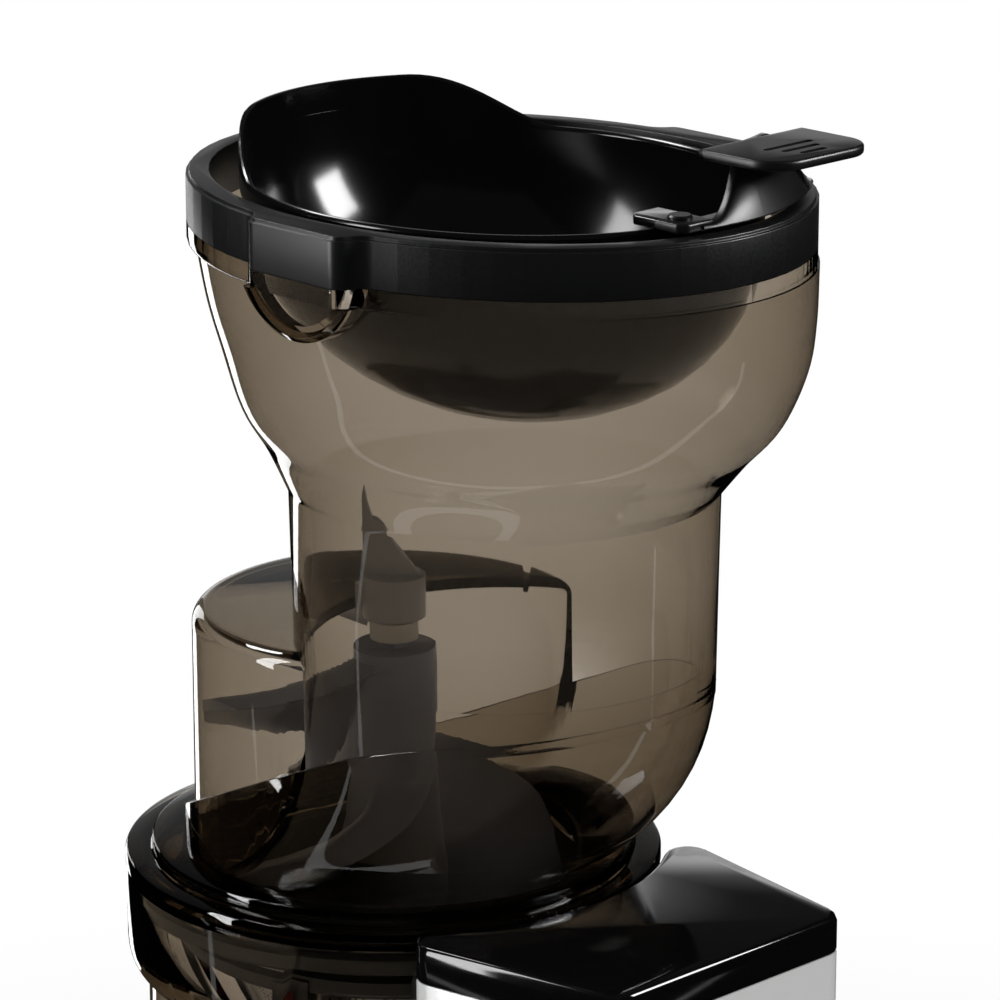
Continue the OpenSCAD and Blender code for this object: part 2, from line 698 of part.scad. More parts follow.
spring_turns = 4;
spring_steps = 12;
module interlock_spring() color(steel) on_axis() translate([plunger_x, 0, 0]) {
  rise = (collar_z - spring_z - 2 * wire_r) / (spring_turns * spring_steps);
  loft([for (i = [0 : spring_turns * spring_steps])
    let (a = -i * 360 / spring_steps, z = spring_z + wire_r + i * rise)
    [for (b = [0 : 60 : 300]) let (r = spring_r + wire_r * cos(b)) [r * cos(a), r * sin(a), z + wire_r * sin(b)]]],
    [spring_r, 0, spring_z + wire_r], [spring_r, 0, collar_z - wire_r]);
}

// Bowl
tube_wall = 2;
pulp_r0 = 20.5;
pulp_in = 24;
pulp_out = mesh_r0 - 0.5;
pulp_w = spout_w - 2 * tube_wall;
pulp_reach = spout_reach + cap_t;
rim_in = rim_r - 2.5;
skirt_r = rim_in - 2.3;
plug_l = 34;
plug_x = 70;
ear_r = 2.8;
pin_z = floor_z + spout_h + ear_r + 0.4;
rib_a = 25.5;
rib_at = bowl_r * [cos(rib_a), sin(rib_a)];
rib = [2.4, 12];
blend_h = 9;
rim_edge = 0.6;
bowl_seal_r = 10.5;
bowl_seal_h = 7;
plug_w = 16;
cap_pin_r = 1.5;
hinge_in = 4;
module juicing_bowl() color(smoke) on_axis() {
  floor_pins();
  bowl_form();
}
module bowl_form() difference() {
  union() {
    rotate_extrude() polygon(concat(
      [[0, floor_z], [bowl_r - bowl_wall, floor_z], [bowl_r - bowl_wall, bowl_z], [bowl_r, bowl_z],
        [bowl_r, rim_z - rim_h - blend_h]],
      [for (i = [1 : 8]) [bowl_r + (rim_r - bowl_r) * sin(i * 11.25), rim_z - rim_h - blend_h * cos(i * 11.25)]],
      [[rim_r, rim_z - rim_edge], [rim_r - rim_edge, rim_z], [0, rim_z]]));
    for (a = lug_turns) rotate([0, 0, a]) translate([bowl_r - 1, -lug_w / 2, bowl_z]) cube([lug_t + 1, lug_w, lug_h]);
    rotate([0, 0, pulp_a]) translate([pulp_r0, -spout_w / 2, bowl_z])
      cube([pulp_reach - pulp_r0, spout_w, floor_h + 1]);
    rotate([0, 0, juice_a]) {
      translate([bowl_in + 1, -spout_w / 2, floor_z]) cube([spout_reach - bowl_in - 1, spout_w, spout_h]);
      translate([spout_reach - 8, -4, floor_z + spout_h - 1]) cube([8, 8, pin_z + ear_r - floor_z - spout_h + 1]);
    }
    translate([rib_at[0], rib_at[1], rim_z - rim_h - 20]) cylinder(r = rib[0], h = rib[1]);
  }
  rotate_extrude() polygon([[hub_r, floor_top], [bowl_in, floor_top], [bowl_in, rim_z - rim_h - 8],
    [rim_in, rim_z - rim_h], [rim_in, rim_z + 1], [0, rim_z + 1], [0, hub_top], [hub_r, hub_top]]);
  translate([0, 0, floor_z - 1]) cylinder(r = output_r + 0.7, h = 60);
  translate([0, 0, floor_z - 1]) cylinder(r = bowl_seal_r, h = bowl_seal_h + 1);
  rotate([0, 0, pulp_a]) {
    translate([pulp_r0 + tube_wall, -pulp_w / 2, bowl_z + tube_wall])
      cube([base_r + 60, pulp_w, floor_h - tube_wall]);
    translate([pulp_in, -pulp_w / 2 + 1, bowl_z + tube_wall]) cube([pulp_out - pulp_in, pulp_w - 2, floor_h + 10]);
    translate([plug_x - plug_l / 2, -plug_w / 2, bowl_z - 1]) cube([plug_l, plug_w, 6]);
  }
  rotate([0, 0, juice_a]) {
    translate([bowl_in - 6, -pulp_w / 2, floor_top]) cube([base_r + 60, pulp_w, spout_h - floor_t - tube_wall]);
    translate([spout_reach - hinge_in, 0, pin_z]) rotate([90, 0, 0]) cylinder(r = cap_pin_r, h = 10, center = true);
  }
}

// Pins on the bowl's floor carry the brush idler and hold the strainer
module floor_pins() around(3, idler_a) translate([idler_d, 0, 0]) {
  translate([0, 0, floor_top - 1]) cylinder(r = idler_pin + 2, h = 1.5);
  translate([0, 0, floor_top]) cylinder(r = idler_pin, h = plate2_z - floor_top);
  translate([0, 0, plate2_z - 1]) cylinder(r = locate_r, h = plate2_t + 1);
}

module bowl_shaft_seal() color(seal_grey) on_axis()
  translate([0, 0, floor_z]) ring(output_r + run_fit, bowl_seal_r, bowl_seal_h);

module lid_gasket() color(seal_grey) on_axis()
  translate([0, 0, rim_z - 7]) ring(skirt_r, rim_in - 0.2, 3.5);

module pulp_seal() color(seal_grey) on_axis() rotate([0, 0, pulp_a])
  translate([plug_x - plug_l / 2, -plug_w / 2, bowl_z]) cube([plug_l, plug_w, tube_wall]);

// Spout cap, hinged over the juice spout
cap_top = pin_z + 3;
cap_low = floor_z - 1;
cap_gap = 0.3;
cap_in = 1.3;
ear_w = 3.4;
ear_y = 6;
module at_spout() on_axis() rotate([0, 0, juice_a]) translate([spout_reach, 0, 0]) children();
module spout_cap() color(smoke) at_spout() difference() {
  union() {
    translate([cap_in, -spout_w / 2, cap_low]) cube([cap_t - cap_in, spout_w, cap_top - cap_low]);
    for (s = [-1, 1]) translate([-hinge_in, s * ear_y + ear_w / 2, pin_z]) rotate([90, 0, 0]) {
      cylinder(r = ear_r, h = ear_w);
      translate([0, -ear_r, 0]) cube([hinge_in + 3, 2 * ear_r, ear_w]);
    }
  }
  translate([-hinge_in, 0, pin_z]) rotate([90, 0, 0]) cylinder(r = cap_pin_r + run_fit, h = 20, center = true);
}

module cap_gasket() color(seal_grey) at_spout() difference() {
  translate([cap_gap, -pulp_w / 2 - 1, floor_top - 1])
    cube([cap_in - cap_gap, pulp_w + 2, spout_h - floor_t - tube_wall + 2]);
  translate([0, -pulp_w / 2 + 1, floor_top + 1]) cube([2, pulp_w - 2, spout_h - floor_t - tube_wall - 2]);
}

module cap_pin() color(steel) at_spout() translate([-hinge_in, 0, pin_z]) rotate([90, 0, 0])
  cylinder(r = cap_pin_r, h = 18, center = true);

// Strainer and brush
plate2_r = 51.5;
collar_out = 52;
auger_hole_r = auger_r0 + 0.8;
stave_t = 3;
stave_d = 1.5;
staves = 6;
chute_wall = 1.6;
function mesh_r(z) = mesh_r0 + (mesh_r1 - mesh_r0) * (z - mesh_z0) / (mesh_z1 - mesh_z0);
module strainer_frame() color(graphite) on_axis() difference() {
  union() {
    translate([0, 0, plate2_z]) ring(auger_hole_r, plate2_r, plate2_t);
    translate([0, 0, mesh_z1 - 1]) ring(mesh_r1, collar_out, strain_top - mesh_z1 + 1);
    around(staves, idler_a + 30) rotate([90, 0, 0]) translate([0, 0, -stave_t / 2]) linear_extrude(stave_t) polygon([
      [mesh_r0, mesh_z0 - 1], [mesh_r0 + mesh_t + stave_d, mesh_z0 - 1],
      [mesh_r1 + mesh_t + stave_d, mesh_z1], [mesh_r1, mesh_z1]]);
    rotate([0, 0, pulp_a]) translate([pulp_in - chute_wall, 1 - pulp_w / 2 - chute_wall, floor_top])
      cube([pulp_out - pulp_in + 2 * chute_wall, pulp_w - 2 + 2 * chute_wall, plate2_z - floor_top + 1]);
  }
  around(3, idler_a) translate([idler_d, 0, 0]) cylinder(r = locate_r + run_fit, h = rim_z);
  rotate([0, 0, pulp_a]) translate([pulp_in, -pulp_w / 2 + 1, 0]) cube([pulp_out - pulp_in, pulp_w - 2, mesh_z0 + 1]);
  translate([0, 0, plate2_z - 1]) cylinder(r = auger_hole_r, h = 2 * plate2_t);
  mesh_cone(mesh_t);
}
module mesh_cone(d) translate([0, 0, mesh_z0]) cylinder(r1 = mesh_r0 + d, r2 = mesh_r1 + d, h = mesh_z1 - mesh_z0);

module strainer_mesh() color(steel) on_axis() difference() {
  mesh_cone(mesh_t);
  mesh_cone(0);
}

module brush_idler() color(nylon) on_axis() rotate([0, 0, idler_a]) translate([idler_d, 0, mesh_gear_z])
  difference() {
    gear(idler_teeth, brush_m, mesh_gear_h);
    translate([0, 0, -1]) cylinder(r = idler_pin + run_fit, h = mesh_gear_h + 2);
  }

brush_out = bowl_in - 0.5;
brush_ring_t = 2.6;
brush_top = [4, 4];
brush_band = 7;
post_in = brush_out - brush_band;
wide_post = [4, 10];
slim_post = [3, 6];
brush_z1 = mesh_z1 - 2;
post_z = mesh_gear_z + mesh_gear_h + 1;
wiper_z = [mesh_z0 + 2, brush_z1 - 4.5];
wiper_t = 1.6;
module wipers() around(3, 20) rotate([90, 0, 0]) translate([0, 0, -wiper_t / 2]) linear_extrude(wiper_t) polygon([
  [mesh_r(wiper_z[0]) + wiper_gap + mesh_t, wiper_z[0]], [brush_out, wiper_z[0]],
  [brush_out, wiper_z[1]], [mesh_r(wiper_z[1]) + wiper_gap + mesh_t, wiper_z[1]]]);

module brush_holder() color(graphite) on_axis() difference() {
  union() {
    translate([0, 0, mesh_gear_z]) difference() {
      cylinder(r = brush_out, h = mesh_gear_h + 0.8);
      rotate([0, 0, idler_a]) translate([0, 0, -1]) gear_space(brush_teeth, brush_m, mesh_gear_h + 3);
    }
    translate([0, 0, mesh_gear_z + mesh_gear_h + 0.4]) ring(post_in, brush_out, brush_ring_t);
    translate([0, 0, brush_z1 - brush_top[1]]) ring(post_in, post_in + brush_top[0], brush_top[1]);
    around(3, 20) translate([post_in + 0.5, -wide_post[1] / 2, post_z])
      cube([wide_post[0], wide_post[1], brush_z1 - post_z - 1]);
    around(3, 80) translate([post_in + 0.5, -slim_post[1] / 2, post_z])
      cube([slim_post[0], slim_post[1], brush_z1 - post_z - 1]);
  }
  wipers();
}
module brush_wipers() color(wiper_red) on_axis() wipers();

// Auger: stacked outlines, each a round body with two narrow lobes that turn as they rise
flight_z0 = mesh_z0 + 1;
flight_z1 = flange_z + 50;
body_z0 = plate2_z - 0.5;
loft_z = flight_z0 - 2;
lid_zone_r = housing_in - flight_gap;
lobe_root = 12;
lobe_tip = 7;
slices = 40;
arc_points = 7;
function smoothstep(a, b, t) = smooth((t - a) / (b - a));
function wall_r(z) = let (low = mesh_r(min(z, mesh_z1 - 4)) - flight_gap)
  low + (lid_zone_r - low) * smoothstep(strain_top + 1, flange_z + 3, z);
function body_r(z) = auger_r1 + (auger_r0 - 0.8 - auger_r1) * (1 - smoothstep(flight_z0, auger_z + 8, z));
function flight_r(z) = let (r = body_r(z) + 0.4)
  r + (wall_r(z) - r) * smoothstep(flight_z0, flight_z0 + 9, z)
    * (1 - pow(smoothstep(flight_z1 - 30, flight_z1, z), 2));
function spin(r, a) = [r * cos(a), r * sin(a)];
function auger_outline(z) = let (rb = body_r(z), rf = flight_r(z), a0 = 360 * (z - flight_z0) / auger_pitch,
  root = lobe_root / 2 / rb * 180 / PI, tip = min(root, lobe_tip / 2 / rf * 180 / PI))
  [for (s = [0, 180]) each concat(
    [spin(rf, a0 + s - tip), spin(rf, a0 + s + tip)],
    arc([0, 0], rb, a0 + s + root, a0 + s + 180 - root, arc_points))];

tip_r = 4;
tip_l = 14.7;
foot_neck_r = 16;
bush_r = 6.5;
bush_h = 5.2;
bush_z = auger_top + 2.2;
module auger() color(graphite) on_axis() difference() {
  union() {
    translate([0, 0, body_z0]) cylinder(r = auger_r0, h = flight_z0 - body_z0);
    loft([for (i = [0 : slices]) let (z = loft_z + i * (auger_z - loft_z) / slices)
      lift(auger_outline(z), z)], [0, 0, loft_z], [0, 0, auger_z]);
    translate([0, 0, mesh_gear_z]) rotate([0, 0, idler_a]) gear(auger_teeth, brush_m, mesh_gear_h);
    translate([0, 0, mesh_gear_z + mesh_gear_h - 0.5])
      cylinder(r = foot_neck_r, h = body_z0 - mesh_gear_z - mesh_gear_h + 1);
    translate([0, 0, auger_z - 1]) cylinder(r = tip_r, h = tip_l + 1);
  }
  translate([0, 0, mesh_gear_z - 1]) cylinder(r = hub_r + 0.7, h = hub_top + 1 - mesh_gear_z + 1);
  translate([0, 0, hub_top]) cylinder(r = output_r + 0.7, h = hex_z + 0.5 - hub_top);
  translate([0, 0, hex_z]) cylinder(r = (hex_af + 0.3) / 2 / cos(30), h = hex_l + 2, $fn = 6);
}

module auger_bush() color(nylon) at_flange() translate([0, 0, bush_z]) ring(tip_r, bush_r, bush_h);

// Lid: outer forms grown by 0 and inner forms by minus the wall
swept_d = neck_y + 0.5;
swept_z = [0, 10, 22, 36, 50, 66];
swept_h = swept_z[5];
function swept_y(z) = swept_d * (1 - pow(1 - min(z, swept_h) / swept_h, 2.6));
lid_fn = 48;
hopper_flare = [15.5, 13.5];
hopper_bow = [9, 1.2];
hopper_u = [0, 0.1, 0.2, 0.35, 0.55, 0.78, 1];
bead_base = bead_z - bead_h - flange_z;
function hopper_b(u) = neck_r + hopper_flare[0] * (1 - pow(1 - u, 2));
function hopper_a(u) = hopper_b(u) + hopper_flare[1] * u;
function hopper_y(u) = neck_y + hopper_bow[0] * u * (1 - u) - hopper_bow[1] * u;
module hopper_form(d, low, extra) loft(concat(
  [oval(neck_r - 0.8 - d, neck_r - 0.8 - d, neck_y, low, lid_fn)],
  [for (u = hopper_u) let (z = neck_top + u * (bead_base - neck_top))
    oval(hopper_a(u) - d, hopper_b(u) - d, hopper_y(u), z, lid_fn)],
  [oval(hopper_a(1) - d, hopper_b(1) - d, hopper_y(1), bead_base + extra, lid_fn)]),
  [0, neck_y, low], [0, neck_y, bead_base + extra]);
module swept_form(d) for (i = [0 : len(swept_z) - 2]) hull() for (z = [swept_z[i], swept_z[i + 1]])
  translate([0, swept_y(z), z]) cylinder(r = drum_r - d, h = 0.5, $fn = lid_fn);

lug_fillet = 6;
lug_corner = 4;
module ring_outline() offset(r = -lug_fillet, $fn = 32) offset(r = lug_fillet, $fn = 32) union() {
  polygon([for (p = oval(ring_a, ring_b, ring_y, 0, 64)) [p[0], p[1]]]);
  offset(r = lug_corner, $fn = 32) translate([-lug_x + lug_corner, pivot_y - lug_l / 2 + lug_corner])
    square([2 * (lug_x - lug_corner), lug_l - 2 * lug_corner]);
}
module ring_opening() polygon([for (p = oval(ring_a - ring_w, ring_b - ring_w, ring_y, 0, 64)) [p[0], p[1]]]);

pocket_r = 17.5;
pocket_l = 24;
pocket_x = lug_x - 4.3;
pivot_up = pivot_z - flange_z;
module pockets(d) for (s = [-1, 1]) translate([s * (pocket_x - d - pocket_l / 2), pivot_y, pivot_up])
  rotate([0, 90, 0]) cylinder(r = pocket_r - d, h = pocket_l, center = true, $fn = lid_fn);

// The swept drum is cut off along a line that rises to the rear
ledge = [[120, 60], [77, 54], [68, 52.7], [46, 47], [22, 37], [-38, 10], [-55, step_h], [-80, step_h]];
module swept_cut() rotate([90, 0, 90]) linear_extrude(200, center = true)
  polygon(concat([[-80, -1], [120, -1]], ledge));

lid_edge = 0.8;
lid_skirt = 9;
roof_round = 4;
sleeve_r = collar_out + 0.4;
sleeve_up = 7;
bracket_y = -27;

module lid() color(smoke) at_flange() difference() {
  union() {
    rotate_extrude($fn = lid_fn) polygon(concat(
      [[0, -flange_t - lid_skirt], [skirt_r, -flange_t - lid_skirt], [skirt_r, -flange_t],
        [flange_r - lid_edge, -flange_t], [flange_r, -flange_t + lid_edge], [flange_r, -1], [flange_r - 1, 0],
        [step_r, 0], [step_r, step_h - rim_edge], [step_r - rim_edge, step_h], [housing_r, step_h],
        [housing_r, housing_h - roof_round]],
      arc([housing_r - roof_round, housing_h - roof_round], roof_round, 22.5, 90, 3), [[0, housing_h]]));
    intersection() {
      swept_form(0);
      swept_cut();
    }
    difference() {
      hopper_form(0, 30, 1);
      translate([0, 0, -step_h]) swept_cut();
    }
    translate([0, 0, bead_base]) linear_extrude(bead_h) ring_outline();
    intersection() {
      pockets(0);
      below(bead_base + 1);
    }
  }
  translate([0, 0, -flange_t - lid_skirt - 1]) {
    cylinder(r = housing_in, h = flange_t + lid_skirt + 1 + housing_h - lid_wall, $fn = lid_fn);
    difference() {
      cylinder(r = skirt_r - lid_wall, h = lid_skirt + 1, $fn = lid_fn);
      translate([0, 0, lid_skirt + 1 - sleeve_up]) cylinder(r = sleeve_r + lid_wall, h = sleeve_up + 1, $fn = lid_fn);
    }
    cylinder(r = sleeve_r, h = lid_skirt + 1, $fn = lid_fn);
  }
  swept_form(lid_wall + 1.5);
  hopper_form(lid_wall, housing_h - 3, bead_h + 10);
  pockets(lid_wall);
  translate([0, bracket_y, housing_h - lid_wall - 1]) cylinder(r = screw_r, h = 3, $fn = 24);
}
module below(z) translate([-200, -200, z - 100]) cube([400, 400, 100]);

bush_top = auger_top + 8.4;
arm_t = 3.6;
arm_w = 12;
arm_z = housing_h - lid_wall - seat_gap - arm_t;
arm_end = neck_y - neck_in + 1;
tip_collar = [8.5, 11.4];
tip_hole_l = 8;
fin_t = 3;
// Outline of the fin above the bush, with a notch near its tip
fin = [[-7, 11], [-7, 20], [-4, 25], [-1, 26.5], [2, 27], [4, 30], [7, 35], [8, 33], [8, 11]];
module splitter_bracket() color(graphite) at_flange() difference() {
  union() {
    translate([0, 0, bush_top]) cylinder(r = tip_collar[0], h = tip_collar[1]);
    translate([-arm_w / 2, arm_end, arm_z]) cube([arm_w, 5, bush_top + tip_hole_l - arm_z]);
    hull() {
      translate([0, bracket_y, arm_z]) cylinder(r = arm_w / 2, h = arm_t);
      translate([-arm_w / 2, arm_end, arm_z]) cube([arm_w, 2, arm_t]);
    }
    rotate([0, 0, -45]) rotate([90, 0, 0]) translate([0, 0, -fin_t / 2]) linear_extrude(fin_t)
      polygon([for (p = fin) [p[0], bush_top + p[1]]]);
  }
  translate([0, 0, bush_top - 1]) cylinder(r = tip_r + run_fit, h = tip_hole_l + 1);
  translate([0, 0, arm_z - 1]) cylinder(r = bush_r + 0.7, h = bush_top - arm_z + 0.9);
  translate([0, bracket_y, arm_z - 1]) cylinder(r = screw_r + slip, h = arm_t + 2);
}

module bracket_screw() color(steel) at_flange() translate([0, bracket_y, arm_z - head_h]) {
  cylinder(r = head_r, h = head_h);
  cylinder(r = screw_r - slip, h = head_h + arm_t + 1);
}

// Hopper ring
ring_edge = 0.8;
lug_wall = 2.2;
module hopper_ring() color(satin_black) on_axis() difference() {
  union() {
    translate([0, 0, bead_z]) linear_extrude(ring_h - 1) ring_outline();
    translate([0, 0, ring_z - 1.5]) linear_extrude(1.5) offset(r = -ring_edge) ring_outline();
  }
  translate([0, 0, bead_z - 1]) linear_extrude(ring_h + 2) ring_opening();
  for (s = [-1, 1]) translate([s * (lug_x - lug_wall - 10), pivot_y, pivot_z]) rotate([0, 90, 0])
    cylinder(r = pivot_r + run_fit, h = 20, center = true);
}

// Feed tray
bowl_shift = 8.5;
pin_x = tray_b - 0.6 * tray_wall;
tray_u = [0, 0.12, 0.28, 0.46, 0.64, 0.8, 0.93, 1];
tray_fullness = 2.3;
scoop_run = [8, 30];
function tray_k(u) = pow(1 - pow(u, tray_fullness), 0.5);
function tray_rise(y) = scoop_h * smooth((scoop_run[0] - y) / scoop_run[1]);
function tray_section(d, u) = let (k = max(tray_k(u), 0.12))
  [for (p = oval((tray_a - d) * k, (tray_b - d) * k, ring_y + bowl_shift * u, 0, 64))
    [p[0], p[1], tray_z - 1 - u * (tray_depth - d)]];
function tray_lip(d, z) = [for (p = oval(tray_a - d, tray_b - d, ring_y, 0, 64)) [p[0], p[1], z + tray_rise(p[1])]];
module tray_cup() loft(concat(
  [for (i = [len(tray_u) - 1 : -1 : 0]) tray_section(0, tray_u[i])],
  [tray_lip(0.4, tray_z - 0.3), tray_lip(0.7, tray_z)],
  [tray_lip(tray_wall - 0.6, tray_z), tray_lip(tray_wall, tray_z - 0.6)],
  [for (i = [0 : len(tray_u) - 1]) tray_section(tray_wall, tray_u[i])]),
  [0, ring_y + bowl_shift, tray_z - 1 - tray_depth], [0, ring_y + bowl_shift, tray_z - 1 - tray_depth + tray_wall]);

// The hood rises behind the tray in an S-curve and carries the thumb tab
hood_h = tab_h - tab_t;
hood_reach = tray_a + 11.9;
hood_lean = 0.5;
hood_low = 1.5;
hood_end = 11;
hood_step = 3.1;
hood_n = 18;
hood_x = [for (i = [0 : hood_n]) hood_step * (i - hood_n) + hood_end];
function hood_top(x) = 1 + hood_h * smooth((8 - x) / 21) * smooth((x + 58) / 16);
function hood_out(x) = ring_y + hood_reach - 0.009 * pow(x, 2) - 0.02 * x;
function tray_edge(x) = ring_y + (tray_a - tray_wall / 2) * sqrt(1 - pow(x / (tray_b - tray_wall / 2), 2));
module hood() loft([for (x = hood_x) let (h = hood_top(x), top = tray_z + h + 1.6) [
  [x, tray_edge(x), tray_z - 2], [x, hood_out(x), tray_z + hood_low],
  [x, hood_out(x) - hood_lean * h, top], [x, tray_edge(x), top]]],
  [hood_x[0], ring_y + tray_a - 15.3, tray_z + 1.3], [hood_x[hood_n], ring_y + tray_a + 3.7, tray_z + 1.2]);

// Small flat tab beside the hood, with a round boss
side_tab = [7, ring_y + tray_a - 8.3, 10.6, 18, 2.4];
side_boss = [12.3, ring_y + tray_a + 3.7, 3, 1.4];
slot_r = 0.8;

module feed_tray() color(gloss_black) on_axis() {
  tray_cup();
  hood();
  translate([0, 0, tray_z + tab_h - tab_t]) linear_extrude(tab_t) difference() {
    hull() {
      translate([tab_x - tab_half, tab_root]) square([2 * tab_half, 2]);
      for (s = [-1, 1]) translate([tab_x + s * (tab_half - tab_corner), tab_tip - tab_corner]) circle(r = tab_corner);
    }
    for (i = [0 : 2]) hull() for (s = [-1, 1])
      translate([tab_x + s * (7 - 2 * i), tab_tip - 13 + i * 4]) circle(r = slot_r);
  }
  translate([side_tab[0], side_tab[1], tray_z + 0.9]) cube([side_tab[2], side_tab[3], side_tab[4]]);
  translate([side_boss[0], side_boss[1], tray_z + 3]) cylinder(r = side_boss[2], h = side_boss[3]);
  for (s = [-1, 1]) rotate([0, s * 90, 0]) translate([-s * pivot_z, pivot_y, pin_x])
    cylinder(r = pivot_r, h = lug_x - lug_wall - 0.4 - pin_x);
}

base_shell();
bottom_cover();
rubber_feet();
bottom_screws();
column_cover();
bowl_seat();
motor_plate();
motor_plate_screws();
stator_core();
stator_windings();
end_bell();
motor_bolts();
motor_bearings();
rotor();
cooling_fan();
gear_housing();
ring_gear();
sun_gear();
first_planet_a();
first_planet_b();
first_planet_c();
first_carrier();
second_planet_a();
second_planet_b();
second_planet_c();
drive_shaft();
output_bearing();
shaft_seal();
control_board();
run_capacitor();
switch_frame();
power_rocker();
cord_inlet();
interlock_switch();
interlock_plunger();
interlock_spring();
juicing_bowl();
bowl_shaft_seal();
lid_gasket();
pulp_seal();
spout_cap();
cap_gasket();
cap_pin();
strainer_frame();
strainer_mesh();
brush_idler();
brush_holder();
brush_wipers();
auger();
auger_bush();
lid();
splitter_bracket();
bracket_screw();
hopper_ring();
feed_tray();
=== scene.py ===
import json
from math import atan2, cos, hypot, pi, radians, sin, sqrt

import bmesh
import bpy
from mathutils import Matrix, Vector


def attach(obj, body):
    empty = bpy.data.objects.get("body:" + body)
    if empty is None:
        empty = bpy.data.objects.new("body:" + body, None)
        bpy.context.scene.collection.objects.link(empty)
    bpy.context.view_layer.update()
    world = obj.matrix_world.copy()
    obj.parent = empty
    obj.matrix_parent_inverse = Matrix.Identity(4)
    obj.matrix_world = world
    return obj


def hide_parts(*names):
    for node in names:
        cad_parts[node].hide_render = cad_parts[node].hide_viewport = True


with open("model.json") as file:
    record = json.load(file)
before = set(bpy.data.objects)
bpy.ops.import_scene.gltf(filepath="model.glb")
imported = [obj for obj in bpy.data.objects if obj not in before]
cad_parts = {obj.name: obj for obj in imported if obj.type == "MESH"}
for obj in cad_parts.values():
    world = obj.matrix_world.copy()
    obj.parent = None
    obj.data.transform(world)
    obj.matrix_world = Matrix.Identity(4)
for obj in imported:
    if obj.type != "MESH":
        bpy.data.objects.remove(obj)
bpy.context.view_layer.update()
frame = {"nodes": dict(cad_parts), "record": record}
scene = bpy.context.scene
scene.view_settings.view_transform = "Standard"
scene.cycles.transparent_max_bounces = 24

# the drive axis and the lid flange, in millimetres
axisY = -24.4
flangeZ = 280.0
atFlange = Matrix.Translation((0, axisY * 0.001, flangeZ * 0.001)) @ Matrix.Scale(0.001, 4)
onAxis = Matrix.Translation((0, axisY * 0.001, 0)) @ Matrix.Scale(0.001, 4)


finishes = {
    # colour, roughness low and high, speckle size, bump depth in millimetres
    "glossWhite": {"colour": (0.86, 0.865, 0.86), "rough": (0.14, 0.2), "grain": 260, "bump": 0.004,
                   "coat": 0.3, "vary": 0.15},
    "glossBlack": {"colour": (0.003, 0.003, 0.0035), "rough": (0.07, 0.11), "grain": 180, "bump": 0.002,
                   "gloss": 0.4},
    "satinBlack": {"colour": (0.0045, 0.0048, 0.0056), "rough": (0.33, 0.4), "grain": 1500, "bump": 0.01,
                   "gloss": 0.4},
    "graphite": {"colour": (0.06, 0.063, 0.07), "rough": (0.3, 0.4), "grain": 900, "bump": 0.008},
    "augerGrey": {"colour": (0.3, 0.34, 0.45), "rough": (0.28, 0.36), "grain": 700, "bump": 0.006},
    "finGrey": {"colour": (0.5, 0.51, 0.54), "rough": (0.3, 0.38), "grain": 700, "bump": 0.006},
    "nylon": {"colour": (0.72, 0.71, 0.67), "rough": (0.38, 0.48), "grain": 700, "bump": 0.008},
    "rubber": {"colour": (0.02, 0.02, 0.021), "rough": (0.62, 0.78), "grain": 1200, "bump": 0.03},
    "seal": {"colour": (0.1, 0.104, 0.108), "rough": (0.45, 0.58), "grain": 800, "bump": 0.015},
    "wiper": {"colour": (0.42, 0.07, 0.03), "rough": (0.42, 0.55), "grain": 800, "bump": 0.015},
    "board": {"colour": (0.012, 0.09, 0.035), "rough": (0.3, 0.42), "grain": 420, "bump": 0.01, "coat": 0.2},
}
# how much a plain colour drifts, and over what distance
driftLook = {"size": 14.0, "lighter": 0.12, "darker": 0.1, "coatRough": 0.05}


def newMaterial(name):
    made = bpy.data.materials.new(name)
    made.use_nodes = True
    nodes, links = made.node_tree.nodes, made.node_tree.links
    shader = nodes["Principled BSDF"]
    place = nodes.new("ShaderNodeTexCoord")
    return made, nodes, links, shader, place.outputs["Object"]


def noise(nodes, links, place, scale, detail=4.0, stretch=None):
    made = nodes.new("ShaderNodeTexNoise")
    made.inputs["Scale"].default_value = scale
    made.inputs["Detail"].default_value = detail
    if stretch:
        turn = nodes.new("ShaderNodeMapping")
        turn.inputs["Scale"].default_value = stretch
        links.new(place, turn.inputs["Vector"])
        place = turn.outputs["Vector"]
    links.new(place, made.inputs["Vector"])
    return made.outputs["Fac"]


def spread(nodes, links, value, low, high, start=0.3, end=0.7):
    made = nodes.new("ShaderNodeMapRange")
    for socket, number in zip(("From Min", "From Max", "To Min", "To Max"), (start, end, low, high)):
        made.inputs[socket].default_value = number
    links.new(value, made.inputs["Value"])
    return made.outputs["Result"]


def tinted(nodes, links, value, first, second):
    made = nodes.new("ShaderNodeMix")
    made.data_type = "RGBA"
    made.inputs["A"].default_value = (*first, 1)
    made.inputs["B"].default_value = (*second, 1)
    links.new(value, made.inputs["Factor"])
    return made.outputs["Result"]


def bumped(nodes, links, shader, height, depth):
    made = nodes.new("ShaderNodeBump")
    made.inputs["Distance"].default_value = depth * 0.001
    links.new(height, made.inputs["Height"])
    links.new(made.outputs["Normal"], shader.inputs["Normal"])


